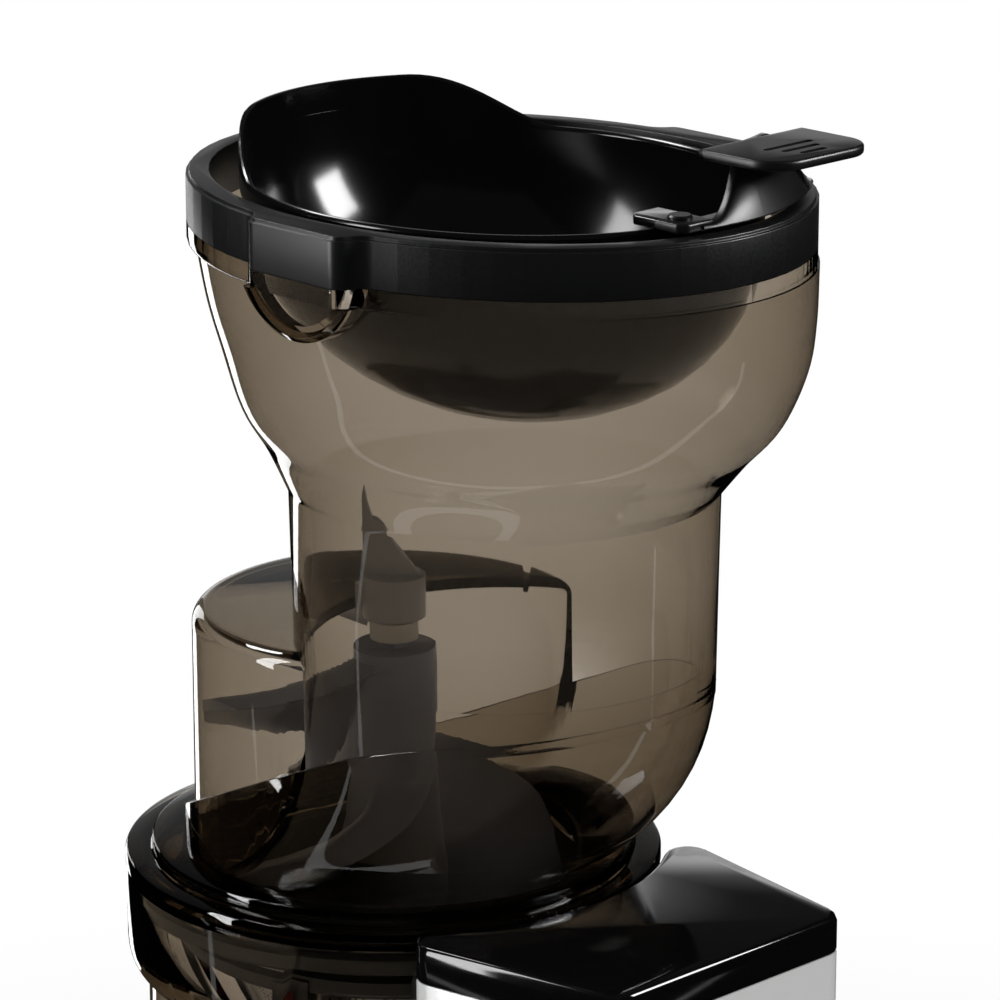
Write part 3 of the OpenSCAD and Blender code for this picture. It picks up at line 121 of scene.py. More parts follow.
def plainFinish(name):
    look = finishes[name]
    made, nodes, links, shader, place = newMaterial(name)
    cloud = noise(nodes, links, place, driftLook["size"])
    grain = noise(nodes, links, place, look["grain"], 2.0)
    vary = look.get("vary", 1.0)
    light = [c * (1 + driftLook["lighter"] * vary) + 0.001 for c in look["colour"]]
    dark = [c * (1 - driftLook["darker"] * vary) for c in look["colour"]]
    colour = tinted(nodes, links, spread(nodes, links, cloud, 0, 1), dark, light)
    links.new(colour, shader.inputs["Base Color"])
    links.new(spread(nodes, links, grain, *look["rough"]), shader.inputs["Roughness"])
    bumped(nodes, links, shader, grain, look["bump"])
    shader.inputs["Coat Weight"].default_value = look.get("coat", 0.0)
    shader.inputs["Specular IOR Level"].default_value = look.get("gloss", 0.5)
    shader.inputs["Coat Roughness"].default_value = driftLook["coatRough"]
    return made


# the smoky plastic: its skin, and what it swallows on each metre of the way through it
smokeLook = {
    "skin": (0.93, 0.925, 0.92), "skinPale": (0.96, 0.955, 0.95), "size": 9.0, "rough": (0.0, 0.012),
    "bend": 1.46, "deep": (0.3, 0.2, 0.05), "density": 350.0,
}


def smokyFinish():
    made, nodes, links, shader, place = newMaterial("smokyPlastic")
    cloud = noise(nodes, links, place, smokeLook["size"], 2.0)
    skin = tinted(nodes, links, spread(nodes, links, cloud, 0, 1), smokeLook["skin"], smokeLook["skinPale"])
    links.new(skin, shader.inputs["Base Color"])
    links.new(spread(nodes, links, cloud, *smokeLook["rough"]), shader.inputs["Roughness"])
    shader.inputs["Transmission Weight"].default_value = 1.0
    shader.inputs["IOR"].default_value = smokeLook["bend"]
    inside = nodes.new("ShaderNodeVolumeAbsorption")
    inside.inputs["Color"].default_value = (*smokeLook["deep"], 1)
    inside.inputs["Density"].default_value = smokeLook["density"]
    links.new(inside.outputs["Volume"], nodes["Material Output"].inputs["Volume"])
    return made


# the feed tray is glossy in its bowl and satin on the hood and tab behind it, from here to there in metres
trayLook = {"gloss": 0.14, "satin": 0.34, "from": 0.0842, "to": 0.0852}


def trayFinish():
    made = plainFinish("glossBlack")
    made.name = "trayBlack"
    nodes, links = made.node_tree.nodes, made.node_tree.links
    parts = nodes.new("ShaderNodeSeparateXYZ")
    links.new(nodes["Texture Coordinate"].outputs["Object"], parts.inputs["Vector"])
    rough = spread(nodes, links, parts.outputs["Y"], trayLook["gloss"], trayLook["satin"], trayLook["from"],
                   trayLook["to"])
    links.new(rough, nodes["Principled BSDF"].inputs["Roughness"])
    return made


meshLook = {
    "pitch": 620.0, "scatter": 0.12, "edge": (0.22, 0.3), "steel": (0.5, 0.5, 0.5),
    "hole": (0.05, 0.05, 0.05), "rough": (0.6, 0.28), "bump": 0.15,
}


def perforatedFinish():
    made, nodes, links, shader, place = newMaterial("perforatedSteel")
    cells = nodes.new("ShaderNodeTexVoronoi")
    cells.inputs["Scale"].default_value = meshLook["pitch"]
    cells.inputs["Randomness"].default_value = meshLook["scatter"]
    links.new(place, cells.inputs["Vector"])
    hole = spread(nodes, links, cells.outputs["Distance"], 0, 1, *meshLook["edge"])
    links.new(tinted(nodes, links, hole, meshLook["hole"], meshLook["steel"]), shader.inputs["Base Color"])
    links.new(spread(nodes, links, hole, *meshLook["rough"], 0, 1), shader.inputs["Roughness"])
    bumped(nodes, links, shader, hole, meshLook["bump"])
    shader.inputs["Metallic"].default_value = 1.0
    return made


steelLook = {"colour": (0.56, 0.57, 0.58), "size": 60.0, "stretch": (1, 1, 26), "lighter": 1.15,
             "darker": 0.78, "rough": (0.24, 0.36), "bump": 0.006}


def brushedFinish():
    made, nodes, links, shader, place = newMaterial("brushedSteel")
    lines = noise(nodes, links, place, steelLook["size"], 6.0, steelLook["stretch"])
    light = [c * steelLook["lighter"] for c in steelLook["colour"]]
    dark = [c * steelLook["darker"] for c in steelLook["colour"]]
    colour = tinted(nodes, links, spread(nodes, links, lines, 0, 1), dark, light)
    links.new(colour, shader.inputs["Base Color"])
    links.new(spread(nodes, links, lines, *steelLook["rough"]), shader.inputs["Roughness"])
    bumped(nodes, links, shader, lines, steelLook["bump"])
    shader.inputs["Metallic"].default_value = 1.0
    return made


copperLook = {"colour": (0.62, 0.26, 0.12), "wires": 330.0, "wobble": 1.6, "lighter": 1.2, "darker": 0.45,
              "rough": (0.45, 0.26), "bump": 0.2}


def windingFinish():
    made, nodes, links, shader, place = newMaterial("copperWinding")
    wires = nodes.new("ShaderNodeTexWave")
    wires.bands_direction = "Z"
    wires.inputs["Scale"].default_value = copperLook["wires"]
    wires.inputs["Distortion"].default_value = copperLook["wobble"]
    links.new(place, wires.inputs["Vector"])
    wire = wires.outputs["Fac"]
    light = [c * copperLook["lighter"] for c in copperLook["colour"]]
    dark = [c * copperLook["darker"] for c in copperLook["colour"]]
    links.new(tinted(nodes, links, wire, dark, light), shader.inputs["Base Color"])
    links.new(spread(nodes, links, wire, *copperLook["rough"], 0, 1), shader.inputs["Roughness"])
    bumped(nodes, links, shader, wire, copperLook["bump"])
    shader.inputs["Metallic"].default_value = 1.0
    return made


materials = {name: plainFinish(name) for name in finishes}
materials["steel"] = brushedFinish()
materials["copper"] = windingFinish()
materials["smoke"] = smokyFinish()
materials["mesh"] = perforatedFinish()
materials["tray"] = trayFinish()
slotFinish = {
    "white_body": "glossWhite", "gloss_black": "glossBlack", "satin_black": "satinBlack",
    "graphite": "graphite", "rubber": "rubber", "steel": "steel", "copper": "copper", "board": "board",
    "nylon": "nylon", "smoke": "smoke", "seal_grey": "seal", "wiper_red": "wiper",
}
nodeSlot = {part["node"]: part["material_slot"] for part in frame["record"]["subparts"]}
bodyOf = {node: body for body, nodes in frame["record"]["behaviour"]["bodies"].items() for node in nodes}
print("materials", len(materials))


# Closes poles and shades smooth up to an angle
def finishMesh(bm, smoothUnder=38):
    bmesh.ops.remove_doubles(bm, verts=bm.verts, dist=1e-7)
    for face in bm.faces:
        face.smooth = True
    mesh = bpy.data.meshes.new("shape")
    bm.to_mesh(mesh)
    bm.free()
    mesh.set_sharp_from_angle(angle=radians(smoothUnder))
    return mesh


def newPiece(bm, name, node, smoothUnder=38, finish=None):
    mesh = finishMesh(bm, smoothUnder)
    mesh.name = name
    piece = bpy.data.objects.new(name, mesh)
    scene.collection.objects.link(piece)
    mesh.materials.clear()
    mesh.materials.append(materials[finish or slotFinish[nodeSlot[node]]])
    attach(piece, bodyOf[node])
    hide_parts(node)
    print("piece", name, len(mesh.polygons))
    return piece


def outward(bm):
    bmesh.ops.remove_doubles(bm, verts=bm.verts, dist=1e-5)
    bmesh.ops.recalc_face_normals(bm, faces=bm.faces)
    return bm


def closeEnds(bm):
    bmesh.ops.holes_fill(bm, edges=[e for e in bm.edges if e.is_boundary], sides=0)
    return outward(bm)


# A solid of revolution about Z from a list of radius and height pairs
def revolve(profile, segments=144):
    bm = bmesh.new()
    verts = [bm.verts.new((r, 0, z)) for r, z in profile]
    edges = [bm.edges.new(pair) for pair in zip(verts, verts[1:])]
    bmesh.ops.spin(bm, geom=verts + edges, cent=(0, 0, 0), axis=(0, 0, 1), angle=2 * pi, steps=segments,
                   use_merge=True)
    return outward(bm)


# Points along an arc, its angles in degrees
def arc(x, y, radius, start, end, steps=8):
    angles = [radians(start + (end - start) * i / steps) for i in range(steps + 1)]
    return [(x + radius * cos(a), y + radius * sin(a)) for a in angles]


def ovalPlace(row):
    halfX, halfY, centreY, z = row
    return Matrix.Translation((0, centreY, z)) @ Matrix.Diagonal((halfX, halfY, 1, 1))


def extrudeRing(bm, edges):
    made = bmesh.ops.extrude_edge_only(bm, edges=edges)["geom"]
    verts = [g for g in made if isinstance(g, bmesh.types.BMVert)]
    top = set(verts)
    return verts, [g for g in made if isinstance(g, bmesh.types.BMEdge) and top.issuperset(g.verts)]


# A skin through a stack of ovals, each row half width, half length, centre and height
def ovalLoft(rows, segments=144):
    bm = bmesh.new()
    verts = bmesh.ops.create_circle(bm, radius=1.0, segments=segments)["verts"]
    bmesh.ops.transform(bm, matrix=ovalPlace(rows[0]), verts=verts)
    edges = bm.edges[:]
    for below, above in zip(rows, rows[1:]):
        verts, edges = extrudeRing(bm, edges)
        bmesh.ops.transform(bm, matrix=ovalPlace(above) @ ovalPlace(below).inverted(), verts=verts)
    return closeEnds(bm)


# A flat outline pushed along X or Z. The outline is in the plane of the other two axes
def prism(outline, axis, start, end):
    bm = bmesh.new()
    spots = [(start, a, b) if axis == "x" else (a, b, start) for a, b in outline]
    face = bm.faces.new([bm.verts.new(spot) for spot in spots])
    made = bmesh.ops.extrude_face_region(bm, geom=[face])["geom"]
    way = Vector([(end - start) * (axis == n) for n in "xyz"])
    bmesh.ops.translate(bm, vec=way, verts=[g for g in made if isinstance(g, bmesh.types.BMVert)])
    return outward(bm)


# Points on a smooth curve through the given ones (Catmull and Rom)
def between(points, steps):
    made = []
    for i in range(len(points) - 1):
        p1, p2 = Vector(points[i]), Vector(points[i + 1])
        p0 = Vector(points[i - 1]) if i else p1 * 2 - p2
        p3 = Vector(points[i + 2]) if i + 2 < len(points) else p2 * 2 - p1
        for k in range(steps):
            t = k / steps
            made.append(0.5 * ((2 * p1) + (p2 - p0) * t + (2 * p0 - 5 * p1 + 4 * p2 - p3) * t ** 2
                               + (3 * p1 - p0 - 3 * p2 + p3) * t ** 3))
    return made + [Vector(points[-1])]


# A boolean's parts come in any order, so they are sorted by place and each run gives the same mesh
def inOrder(bm):
    def place(part):
        return sorted(vert.co[:] for vert in getattr(part, "verts", [part]))
    for parts in (bm.verts, bm.edges, bm.faces):
        rank = {part: i for i, part in enumerate(sorted(parts, key=place))}
        parts.sort(key=lambda part: rank[part])


# Joins, cuts or keeps what is common, one tool after another
def combine(bm, tools, operation):
    for tool in tools:
        holders = []
        for shape, label in ((bm, "target"), (tool, "tool")):
            mesh = bpy.data.meshes.new(label)
            shape.to_mesh(mesh)
            holders.append(bpy.data.objects.new(label, mesh))
            scene.collection.objects.link(holders[-1])
            shape.free()
        change = holders[0].modifiers.new("change", "BOOLEAN")
        change.object, change.operation, change.solver = holders[1], operation, "EXACT"
        done = holders[0].evaluated_get(bpy.context.evaluated_depsgraph_get())
        bm = bmesh.new()
        bm.from_mesh(done.to_mesh())
        done.to_mesh_clear()
        inOrder(bm)
        for holder in holders:
            mesh = holder.data
            bpy.data.objects.remove(holder)
            bpy.data.meshes.remove(mesh)
    return bm


def softenEdges(bm, offset, segments=2, over=35, keep=None):
    edges = [e for e in bm.edges if len(e.link_faces) == 2 and e.calc_face_angle(0) > radians(over)
             and (keep is None or keep(e))]
    bmesh.ops.bevel(bm, geom=edges, offset=offset, offset_type="OFFSET", segments=segments, profile=0.5,
                    affect="EDGES", clamp_overlap=True, material=-1, loop_slide=True)
    return bm


def fromNode(node, flat=0.8):
    bm = bmesh.new()
    bm.from_mesh(frame["nodes"][node].data)
    bmesh.ops.remove_doubles(bm, verts=bm.verts, dist=2e-6)
    bmesh.ops.dissolve_limit(bm, angle_limit=radians(flat), verts=bm.verts, edges=bm.edges)
    return bm


def smoothStep(t):
    t = min(max(t, 0.0), 1.0)
    return t * t * (3 - 2 * t)


lid = {
    "wall": 2.5,
    "shell": [(0, -13.4), (65, -13.4), (65, -4.4), (69.4, -4.4), (70, -3.8), (70, -0.8), (69.7, -0.2),
              (69.2, 0), (63.4, 0), (63, 0.4), (63, 2.3), (62.8, 2.8), (62.3, 3), (52.3, 3), (51.85, 3.2),
              (51.7, 3.7), (51.7, 60.5)],
    "hollow": [(0, -14.4), (62.5, -14.4), (62.5, -4.4), (54.9, -4.4), (54.9, -11.4), (52.4, -11.4),
               (52.4, -4.4), (49.2, -4.4), (49.2, 61.3)],
    "rounding": (4.5, 1.2),  # of the drum's upper edge, outside and inside
    "neck": {"radius": 54.4, "narrower": 0.7, "narrowAt": 60, "thinner": 0.2, "y": 41.5, "top": 66, "bend": 2.6,
             "foot": (53.0, 53.0, 41.5), "waist": (53.7, 53.7, 41.5, 80)},
    "ledge": [(-80, 3), (-55, 3), (-38, 10), (-8, 23.5), (22, 37), (46, 47), (68, 52.7), (77, 54), (120, 60)],
    "hopper": [(54.2, 54.2, 41.4, 105), (58.5, 63.0, 42.6, 116), (64.0, 71.5, 43.7, 126),
               (66.8, 78.5, 44.0, 140), (68.5, 82.0, 42.6, 152), (69.7, 83.9, 41.0, 166)],
    "bead": (165.2, 170.7),
    "pocket": {"radius": 21.0, "x": 74.3, "y": 44.5, "z": 176.4, "length": 24, "chamfer": 1.5},
}


# One oval of the neck's lower part, which leans back from the drum
def sweptRow(z, inset):
    neck = lid["neck"]
    up = min(z, neck["narrowAt"]) / neck["narrowAt"]
    half = neck["radius"] - neck["narrower"] * up - inset * (1 - neck["thinner"] * up)
    return half, half, neck["y"] * (1 - (1 - min(z, neck["top"]) / neck["top"]) ** neck["bend"]), z


def hopperRows(inset, low, high):
    rows = [tuple(row) for row in between(lid["hopper"], 6)]
    rows = [(*lid["neck"]["foot"], low), lid["neck"]["waist"]] + rows + [(*rows[-1][:3], high)]
    return [(a - inset, b - inset, c, z) for a, b, c, z in rows]


# Rounds the last corner of a profile and takes it to the axis
def roundedTop(profile, radius, steps):
    x, z = profile[-1]
    return profile[:-1] + arc(x - radius, z, radius, 0, 90, steps) + [(0, z + radius)]


# The two rounded pockets under the ring's lugs, as rods that lie along X
def pocketRods(inset):
    pocket = lid["pocket"]
    half, radius, chamfer = pocket["length"] / 2, pocket["radius"] - inset, pocket["chamfer"]
    made = []
    for side in (-1, 1):
        rod = revolve([(0, -half), (radius - chamfer, -half), (radius, chamfer - half),
                       (radius, half - chamfer), (radius - chamfer, half), (0, half)], 96)
        place = Matrix.Translation((side * (pocket["x"] - inset - half), pocket["y"], pocket["z"]))
        bmesh.ops.transform(rod, verts=rod.verts, matrix=place @ Matrix.Rotation(pi / 2, 4, "Y"))
        made.append(outward(rod))
    return made


# The hopper ring's outer outline, with its two lugs, from the carried-over ring
def ringOutline():
    bm = fromNode("hopper_ring")
    low = min(v.co.z for v in bm.verts)
    rim = [e for e in bm.edges if all(abs(v.co.z - low) < 1e-5 for v in e.verts)
           and any(abs(f.normal.z) < 0.5 for f in e.link_faces)]
    start = max((v for e in rim for v in e.verts), key=lambda v: v.co.x)
    rim, loop, at = set(rim), [], start
    while True:
        step = next((e for e in at.link_edges if e in rim), None)
        if step is None:
            break
        rim.discard(step)
        loop.append((at.co.x * 1000, at.co.y * 1000 - axisY))
        at = step.other_vert(at)
    bm.free()
    return loop


def makeLid():
    wall, radius, neckTop = lid["wall"], lid["neck"]["radius"], lid["neck"]["top"]
    outside, inside = lid["rounding"]
    beadFoot = lid["bead"][0]
    below = [(-80, -1)] + [tuple(p) for p in between(lid["ledge"], 5)] + [(120, -1)]
    heights = (0, 3, 6, 10, 14, 18, 22, 27, 32, 37, 42, 47, 52, 57, 62, neckTop)
    swept = ovalLoft([sweptRow(z, 0) for z in heights])
    foot = revolve([(0, 0), (radius, 0), (radius, neckTop), (0, neckTop)])
    swept = combine(combine(swept, [foot], "UNION"), [prism(below, "x", -100, 100)], "INTERSECT")
    bmesh.ops.remove_doubles(swept, verts=swept.verts, dist=0.5)  # the cut along the slope leaves slivers
    closeEnds(swept)
    softenEdges(swept, 1.0, 3, over=50, keep=lambda e: min(v.co.z for v in e.verts) > 2)
    lower = prism([(y, z - 3) for y, z in below], "x", -100, 100)
    neck = combine(ovalLoft(hopperRows(0, 30, 166.4)), [lower], "DIFFERENCE")
    bead = prism(ringOutline(), "z", *lid["bead"])
    softenEdges(bead, 1.2, 3, over=50, keep=lambda e: max(v.co.z for v in e.verts) < beadFoot + 0.1)
    body = combine(revolve(roundedTop(lid["shell"], outside, 8)), [swept, neck, bead], "UNION")
    above = prism([(-100, -60), (100, -60), (100, 160), (-100, 160)], "z", beadFoot + 1, 220)
    rods = [combine(rod, [above.copy()], "DIFFERENCE") for rod in pocketRods(0)]
    above.free()
    body = combine(body, rods, "UNION")
    hollow = [
        revolve(roundedTop(lid["hollow"], inside, 3)),
        ovalLoft([sweptRow(z, wall + 1.5) for z in (0, 10, 20, 30, 40, 48, 56, neckTop + 0.5)]),
        ovalLoft(hopperRows(wall, 61.5, 180)),
    ]
    body = combine(body, hollow + pocketRods(wall), "DIFFERENCE")
    bmesh.ops.transform(body, matrix=atFlange, verts=body.verts)
    newPiece(body, "smokyLid", "lid", 34)


makeLid()

finishedNodes = {
    # node: piece, bevel or 0 for none, segments, edges over this angle
    "hopper_ring": ("hopperRing", 1.1, 3, 50),
    "column_cover": ("columnCover", 0.5, 2, 40),
    "base_shell": ("baseShell", 0.5, 2, 50),
    "splitter_bracket": ("splitterFin", 0.35, 2, 40),
    "switch_frame": ("switchFrame", 0.5, 2, 50),
    "power_rocker": ("rocker", 0.4, 2, 50),
    "cord_inlet": ("cordInlet", 0.4, 2, 50),
    "rubber_feet": ("rubberFeet", 0.8, 3, 50),
    "juicing_bowl": ("smokyBowl", 0, 0, 0),
    "spout_cap": ("spoutCap", 0.5, 2, 50),
}


fin = {"foot": 353.0, "side": 8.0, "pull": (0.28, 0.3), "over": 16}


# The fin over the bush leans to one side and ends in a thin tip
def slimFin(bm):
    least, more = fin["pull"]
    for vert in bm.verts:
        up = vert.co.z * 1000 - fin["foot"]
        if up > 0:
            along = (vert.co.x - vert.co.y + axisY * 0.001) * 1000 * sqrt(0.5)
            move = (fin["side"] - along) * (least + more * min(1.0, up / fin["over"])) * sqrt(0.5) * 0.001
            vert.co.x, vert.co.y = vert.co.x + move, vert.co.y - move


def finishNodes():
    for node, (name, offset, segments, over) in finishedNodes.items():
        bm = fromNode(node)
        if node == "splitter_bracket":
            slimFin(bm)
        if offset:
            softenEdges(bm, offset * 0.001, segments, over)
        newPiece(bm, name, node, 30, "finGrey" if node == "splitter_bracket" else None)


finishNodes()

tray = {
    "halfLength": 69.0, "halfWidth": 60.0, "centre": 39.3, "top": 183.4, "depth": 57.0, "shift": 8.5,
    "wall": 2.2, "full": 2.3, "scoop": 13.0, "scoopFrom": 8, "scoopRun": 30,
    # the hood from left to right, how far its top fades at both ends, and the curve of its rear
    "hood": {"from": -44.5, "to": 11.0, "slices": 56, "rise": 15.0, "left": 22, "right": 21,
             "rear": 120.2, "bow": 0.009, "skew": 0.02, "lean": 0.5},
    "tab": {"x": -16.5, "half": 18.0, "root": 107.8, "tip": 132.8, "corner": 9.0, "up": 17.6, "thick": 2.6},
    "slots": {"half": 7.5, "shorter": 2, "apart": 4, "inset": 13, "radius": 0.95, "deep": 1.1},
    "shelf": {"x": (7, 17.6), "y": (100, 118), "corner": 2, "up": (0.9, 3.3)},
    "boss": {"x": 12.3, "y": 112, "up": 3, "shape": [(0, 0), (3, 0), (3, 0.9), (2.6, 1.3), (0, 1.3)]},
    "pin": {"y": 44.5, "down": 7, "shape": [(0, 58.7), (4, 58.7), (4, 71.2), (3.5, 71.7), (0, 71.7)]},
}


# One oval of the bowl, from its rim at 0 to its bottom at 1
def trayRow(u, inset):
    keep = max((1 - u ** tray["full"]) ** 0.5, 0.03) if u < 1 else 0.03
    return ((tray["halfWidth"] - inset) * keep, (tray["halfLength"] - inset) * keep,
            tray["centre"] + tray["shift"] * u, tray["top"] - 1 - u * (tray["depth"] - inset))


def trayCup():
    wall, top, centre = tray["wall"], tray["top"], tray["centre"]
    steps = [1, 0.985, 0.96, 0.92, 0.86, 0.79, 0.7, 0.6, 0.5, 0.4, 0.3, 0.2, 0.12, 0.05, 0]
    lips = [(0.1, 0.0), (0.35, 0.6), (0.8, 0.95), (wall - 0.8, 0.95), (wall - 0.35, 0.6), (wall - 0.1, 0.0)]
    rows = [trayRow(u, 0) for u in steps]
    rows += [(tray["halfWidth"] - d, tray["halfLength"] - d, centre, top - 1 + up) for d, up in lips]
    rows += [trayRow(u, wall) for u in reversed(steps)]
    cup = ovalLoft(rows)
    for vert in cup.verts:
        if vert.co.z > top - 1.01:
            rise = tray["scoop"] * smoothStep((tray["scoopFrom"] - vert.co.y) / tray["scoopRun"])
            vert.co.z += rise * min(1.0, (vert.co.z - (top - 1.01)) * 50)
    return cup


# The hood's thin wall where it stands at x, round its seven corners
def hoodSection(x):
    hood, top = tray["hood"], tray["top"]
    right = smoothStep((tray["scoopFrom"] - x) / hood["right"])
    rise = 1 + hood["rise"] * right * smoothStep((x + 44) / hood["left"])
    outer = hood["rear"] - hood["bow"] * x ** 2 - hood["skew"] * x
    inner = tray["centre"] + (tray["halfLength"] - 1.1) * sqrt(1 - (x / (tray["halfWidth"] - 1.1)) ** 2)
    lean = hood["lean"] * rise
    return [(inner, top - 2), (outer, top + 1.5), (outer - lean * 0.9, top + rise * 0.92 + 1.3),
            (outer - lean - 0.6, top + rise + 1.6), (outer - lean - 2.8, top + rise + 1.6),
            (outer - 3.6, top + 1.1), (inner, top + 0.9)]


def trayHood():
    hood = tray["hood"]
    bm = bmesh.new()
    corner = bm.verts.layers.int.new("corner")
    verts = [bm.verts.new((hood["from"], y, z)) for y, z in hoodSection(hood["from"])]
    for i, vert in enumerate(verts):
        vert[corner] = i
    edges = list(bm.faces.new(verts).edges)
    for i in range(hood["slices"]):
        verts, edges = extrudeRing(bm, edges)
        bmesh.ops.translate(bm, vec=((hood["to"] - hood["from"]) / hood["slices"], 0, 0), verts=verts)
    for vert in bm.verts:
        vert.co.y, vert.co.z = hoodSection(vert.co.x)[vert[corner]]
    closeEnds(bm)
    return softenEdges(bm, 0.5, 3, over=28, keep=lambda e: all(v[corner] in (1, 3, 4) for v in e.verts))


def thumbTab():
    tab, slot = tray["tab"], tray["slots"]
    x, half, root, tip, corner = tab["x"], tab["half"], tab["root"], tab["tip"], tab["corner"]
    face = tray["top"] + tab["up"]
    outline = [(x - half, root), (x + half, root)]
    outline += arc(x + half - corner, tip - corner, corner, 0, 90)
    outline += arc(x - half + corner, tip - corner, corner, 90, 180)
    thumb = prism(outline, "z", face - tab["thick"], face)
    softenEdges(thumb, 0.8, 3, over=50, keep=lambda e: abs(e.verts[0].co.z - e.verts[1].co.z) < 0.1)
    cuts = []
    for i in range(3):
        reach, y = slot["half"] - slot["shorter"] * i, tip - slot["inset"] + slot["apart"] * i
        groove = arc(x + reach, y, slot["radius"], -90, 90) + arc(x - reach, y, slot["radius"], 90, 270)
        cuts.append(prism(groove, "z", face - slot["deep"], face + 5))
    return combine(thumb, cuts, "DIFFERENCE")


def shelfTab():
    top, corner = tray["top"], tray["shelf"]["corner"]
    (left, right), (front, rear), (low, high) = (tray["shelf"][n] for n in ("x", "y", "up"))
    shelf = prism([(left, front), (right - corner, front), (right, front + corner), (right, rear - corner),
                   (right - corner, rear), (left, rear)], "z", top + low, top + high)
    softenEdges(shelf, 0.6, 3, over=40)
    boss = tray["boss"]
    knob = revolve(boss["shape"], 32)
    bmesh.ops.translate(knob, vec=(boss["x"], boss["y"], top + boss["up"]), verts=knob.verts)
    return [shelf, knob]


def pivotPins():
    place = Matrix.Translation((0, tray["pin"]["y"], tray["top"] - tray["pin"]["down"]))
    pins = []
    for side in (-1, 1):
        pin = revolve(tray["pin"]["shape"], 40)
        bmesh.ops.transform(pin, verts=pin.verts, matrix=place @ Matrix.Rotation(side * pi / 2, 4, "Y"))
        pins.append(outward(pin))
    return pins


def placeTray():
    cup, hood = trayCup(), trayHood()
    bm = combine(cup, [hood, thumbTab()] + shelfTab() + pivotPins(), "UNION")
    bmesh.ops.transform(bm, matrix=atFlange, verts=bm.verts)
    newPiece(bm, "feedTray", "feed_tray", 36, "tray")


placeTray()

auger = {
    "foot": 185.5, "top": 333.0, "pitch": 96.0, "body": (26.2, 11.0), "slim": 312.0,
    "meshLow": (34.5, 184.5), "meshHigh": (46.0, 262.3), "gap": 0.8,
    "lidRadius": 48.4, "lidAt": (273.0, 283.0),
    "start": 9, "ends": [(300.0, 26.0), (330.0, 5.0)],  # each flight's end and its fade below that
    "lobe": (9.0, 6.0), "swell": 0.12, "slices": 168, "around": 112, "crowd": 0.46,
    "pin": 4.0, "pinLength": 14.7, "chamfer": 0.6, "cutAt": 184.9,
    "bore": [(0, 180), (12.7, 180), (12.7, 189.3), (8.7, 189.3), (8.7, 218), (0, 218)],
}


# Radius of the auger's skin at an angle from the lobe's middle and a height
def augerShape(angle, z, end, fade):
    def rise(a, b):
        return smoothStep((z - a) / (b - a))
    first, last = auger["body"]
    body = last + (first - last) * (1 - rise(auger["foot"], auger["slim"]))
    (low, z0), (high, z1) = auger["meshLow"], auger["meshHigh"]
    wall = low + (high - low) * (min(z, z1 - 4) - z0) / (z1 - z0) - auger["gap"]
    wall += (auger["lidRadius"] - wall) * rise(*auger["lidAt"])
    tip = body + 0.4 + (wall - body - 0.4) * rise(auger["foot"], auger["foot"] + auger["start"]) \
        * (1 - rise(end - fade, end) ** 2)
    across = abs(sin(angle)) * tip
    root, land = auger["lobe"]
    swell = (tip - body) * auger["swell"]
    if cos(angle) < 0 or across >= root + swell + land:
        return body
    reach = min(1.0, max(0.0, (across - land) / (root - land + swell)))
    return body + (tip - body) * (1 - reach) ** 0.5


def augerFlights():
    foot, top, slices = auger["foot"] - 2, auger["top"], auger["slices"]
    bm = bmesh.new()
    verts = bmesh.ops.create_circle(bm, radius=1.0, segments=auger["around"])["verts"]
    for vert in verts:  # more points near the two lobes
        angle = atan2(vert.co.y, vert.co.x)
        angle -= auger["crowd"] * sin(2 * angle)
        vert.co = (cos(angle), sin(angle), foot)
    edges, step = bm.edges[:], (top - foot) / slices
    turn = Matrix.Rotation(radians(360 * step / auger["pitch"]), 3, "Z")
    for i in range(slices):
        verts, edges = extrudeRing(bm, edges)
        bmesh.ops.rotate(bm, matrix=turn, cent=(0, 0, 0), verts=verts)
        bmesh.ops.translate(bm, vec=(0, 0, step), verts=verts)
    closeEnds(bm)
    for vert in bm.verts:
        z = vert.co.z
        angle = atan2(vert.co.y, vert.co.x) - radians(360 * (z - auger["foot"]) / auger["pitch"])
        second = cos(angle) < 0
        angle = (angle + pi / 2) % pi - pi / 2  # two lobes, half a turn apart
        radius = augerShape(angle, z, *auger["ends"][second])
        flat = hypot(vert.co.x, vert.co.y)
        vert.co.x, vert.co.y = vert.co.x / flat * radius, vert.co.y / flat * radius
    return bm


def placeAuger():
    pin, tipAt = auger["pin"], auger["top"] + auger["pinLength"]
    tip = revolve([(0, auger["top"] - 2), (pin, auger["top"] - 2), (pin, tipAt - auger["chamfer"]),
                   (pin - auger["chamfer"], tipAt), (0, tipAt)], 48)
    foot = fromNode("auger")
    bmesh.ops.transform(foot, matrix=onAxis.inverted(), verts=foot.verts)
    cut = bmesh.ops.bisect_plane(foot, geom=foot.verts[:] + foot.edges[:] + foot.faces[:],
                                 plane_co=(0, 0, auger["cutAt"]), plane_no=(0, 0, 1), clear_outer=True)
    rim = [e for e in cut["geom_cut"] if isinstance(e, bmesh.types.BMEdge)]
    bmesh.ops.holes_fill(foot, edges=rim, sides=0)
    flights = combine(augerFlights(), [tip], "UNION")
    flights = combine(flights, [revolve(auger["bore"], 64)], "DIFFERENCE")
    body = bmesh.new()
    for part in (flights, foot):
        mesh = bpy.data.meshes.new("part")
        part.to_mesh(mesh)
        body.from_mesh(mesh)
        bpy.data.meshes.remove(mesh)
        part.free()
    bmesh.ops.transform(body, matrix=onAxis, verts=body.verts)
    newPiece(body, "augerScrew", "auger", 34, "augerGrey")


placeAuger()

for node, piece in frame["nodes"].items():
    finish = "mesh" if node == "strainer_mesh" else slotFinish[nodeSlot[node]]
    piece.data.materials.clear()
    piece.data.materials.append(materials[finish])
print("nodes kept", len(frame["nodes"]) - len(finishedNodes) - 3)

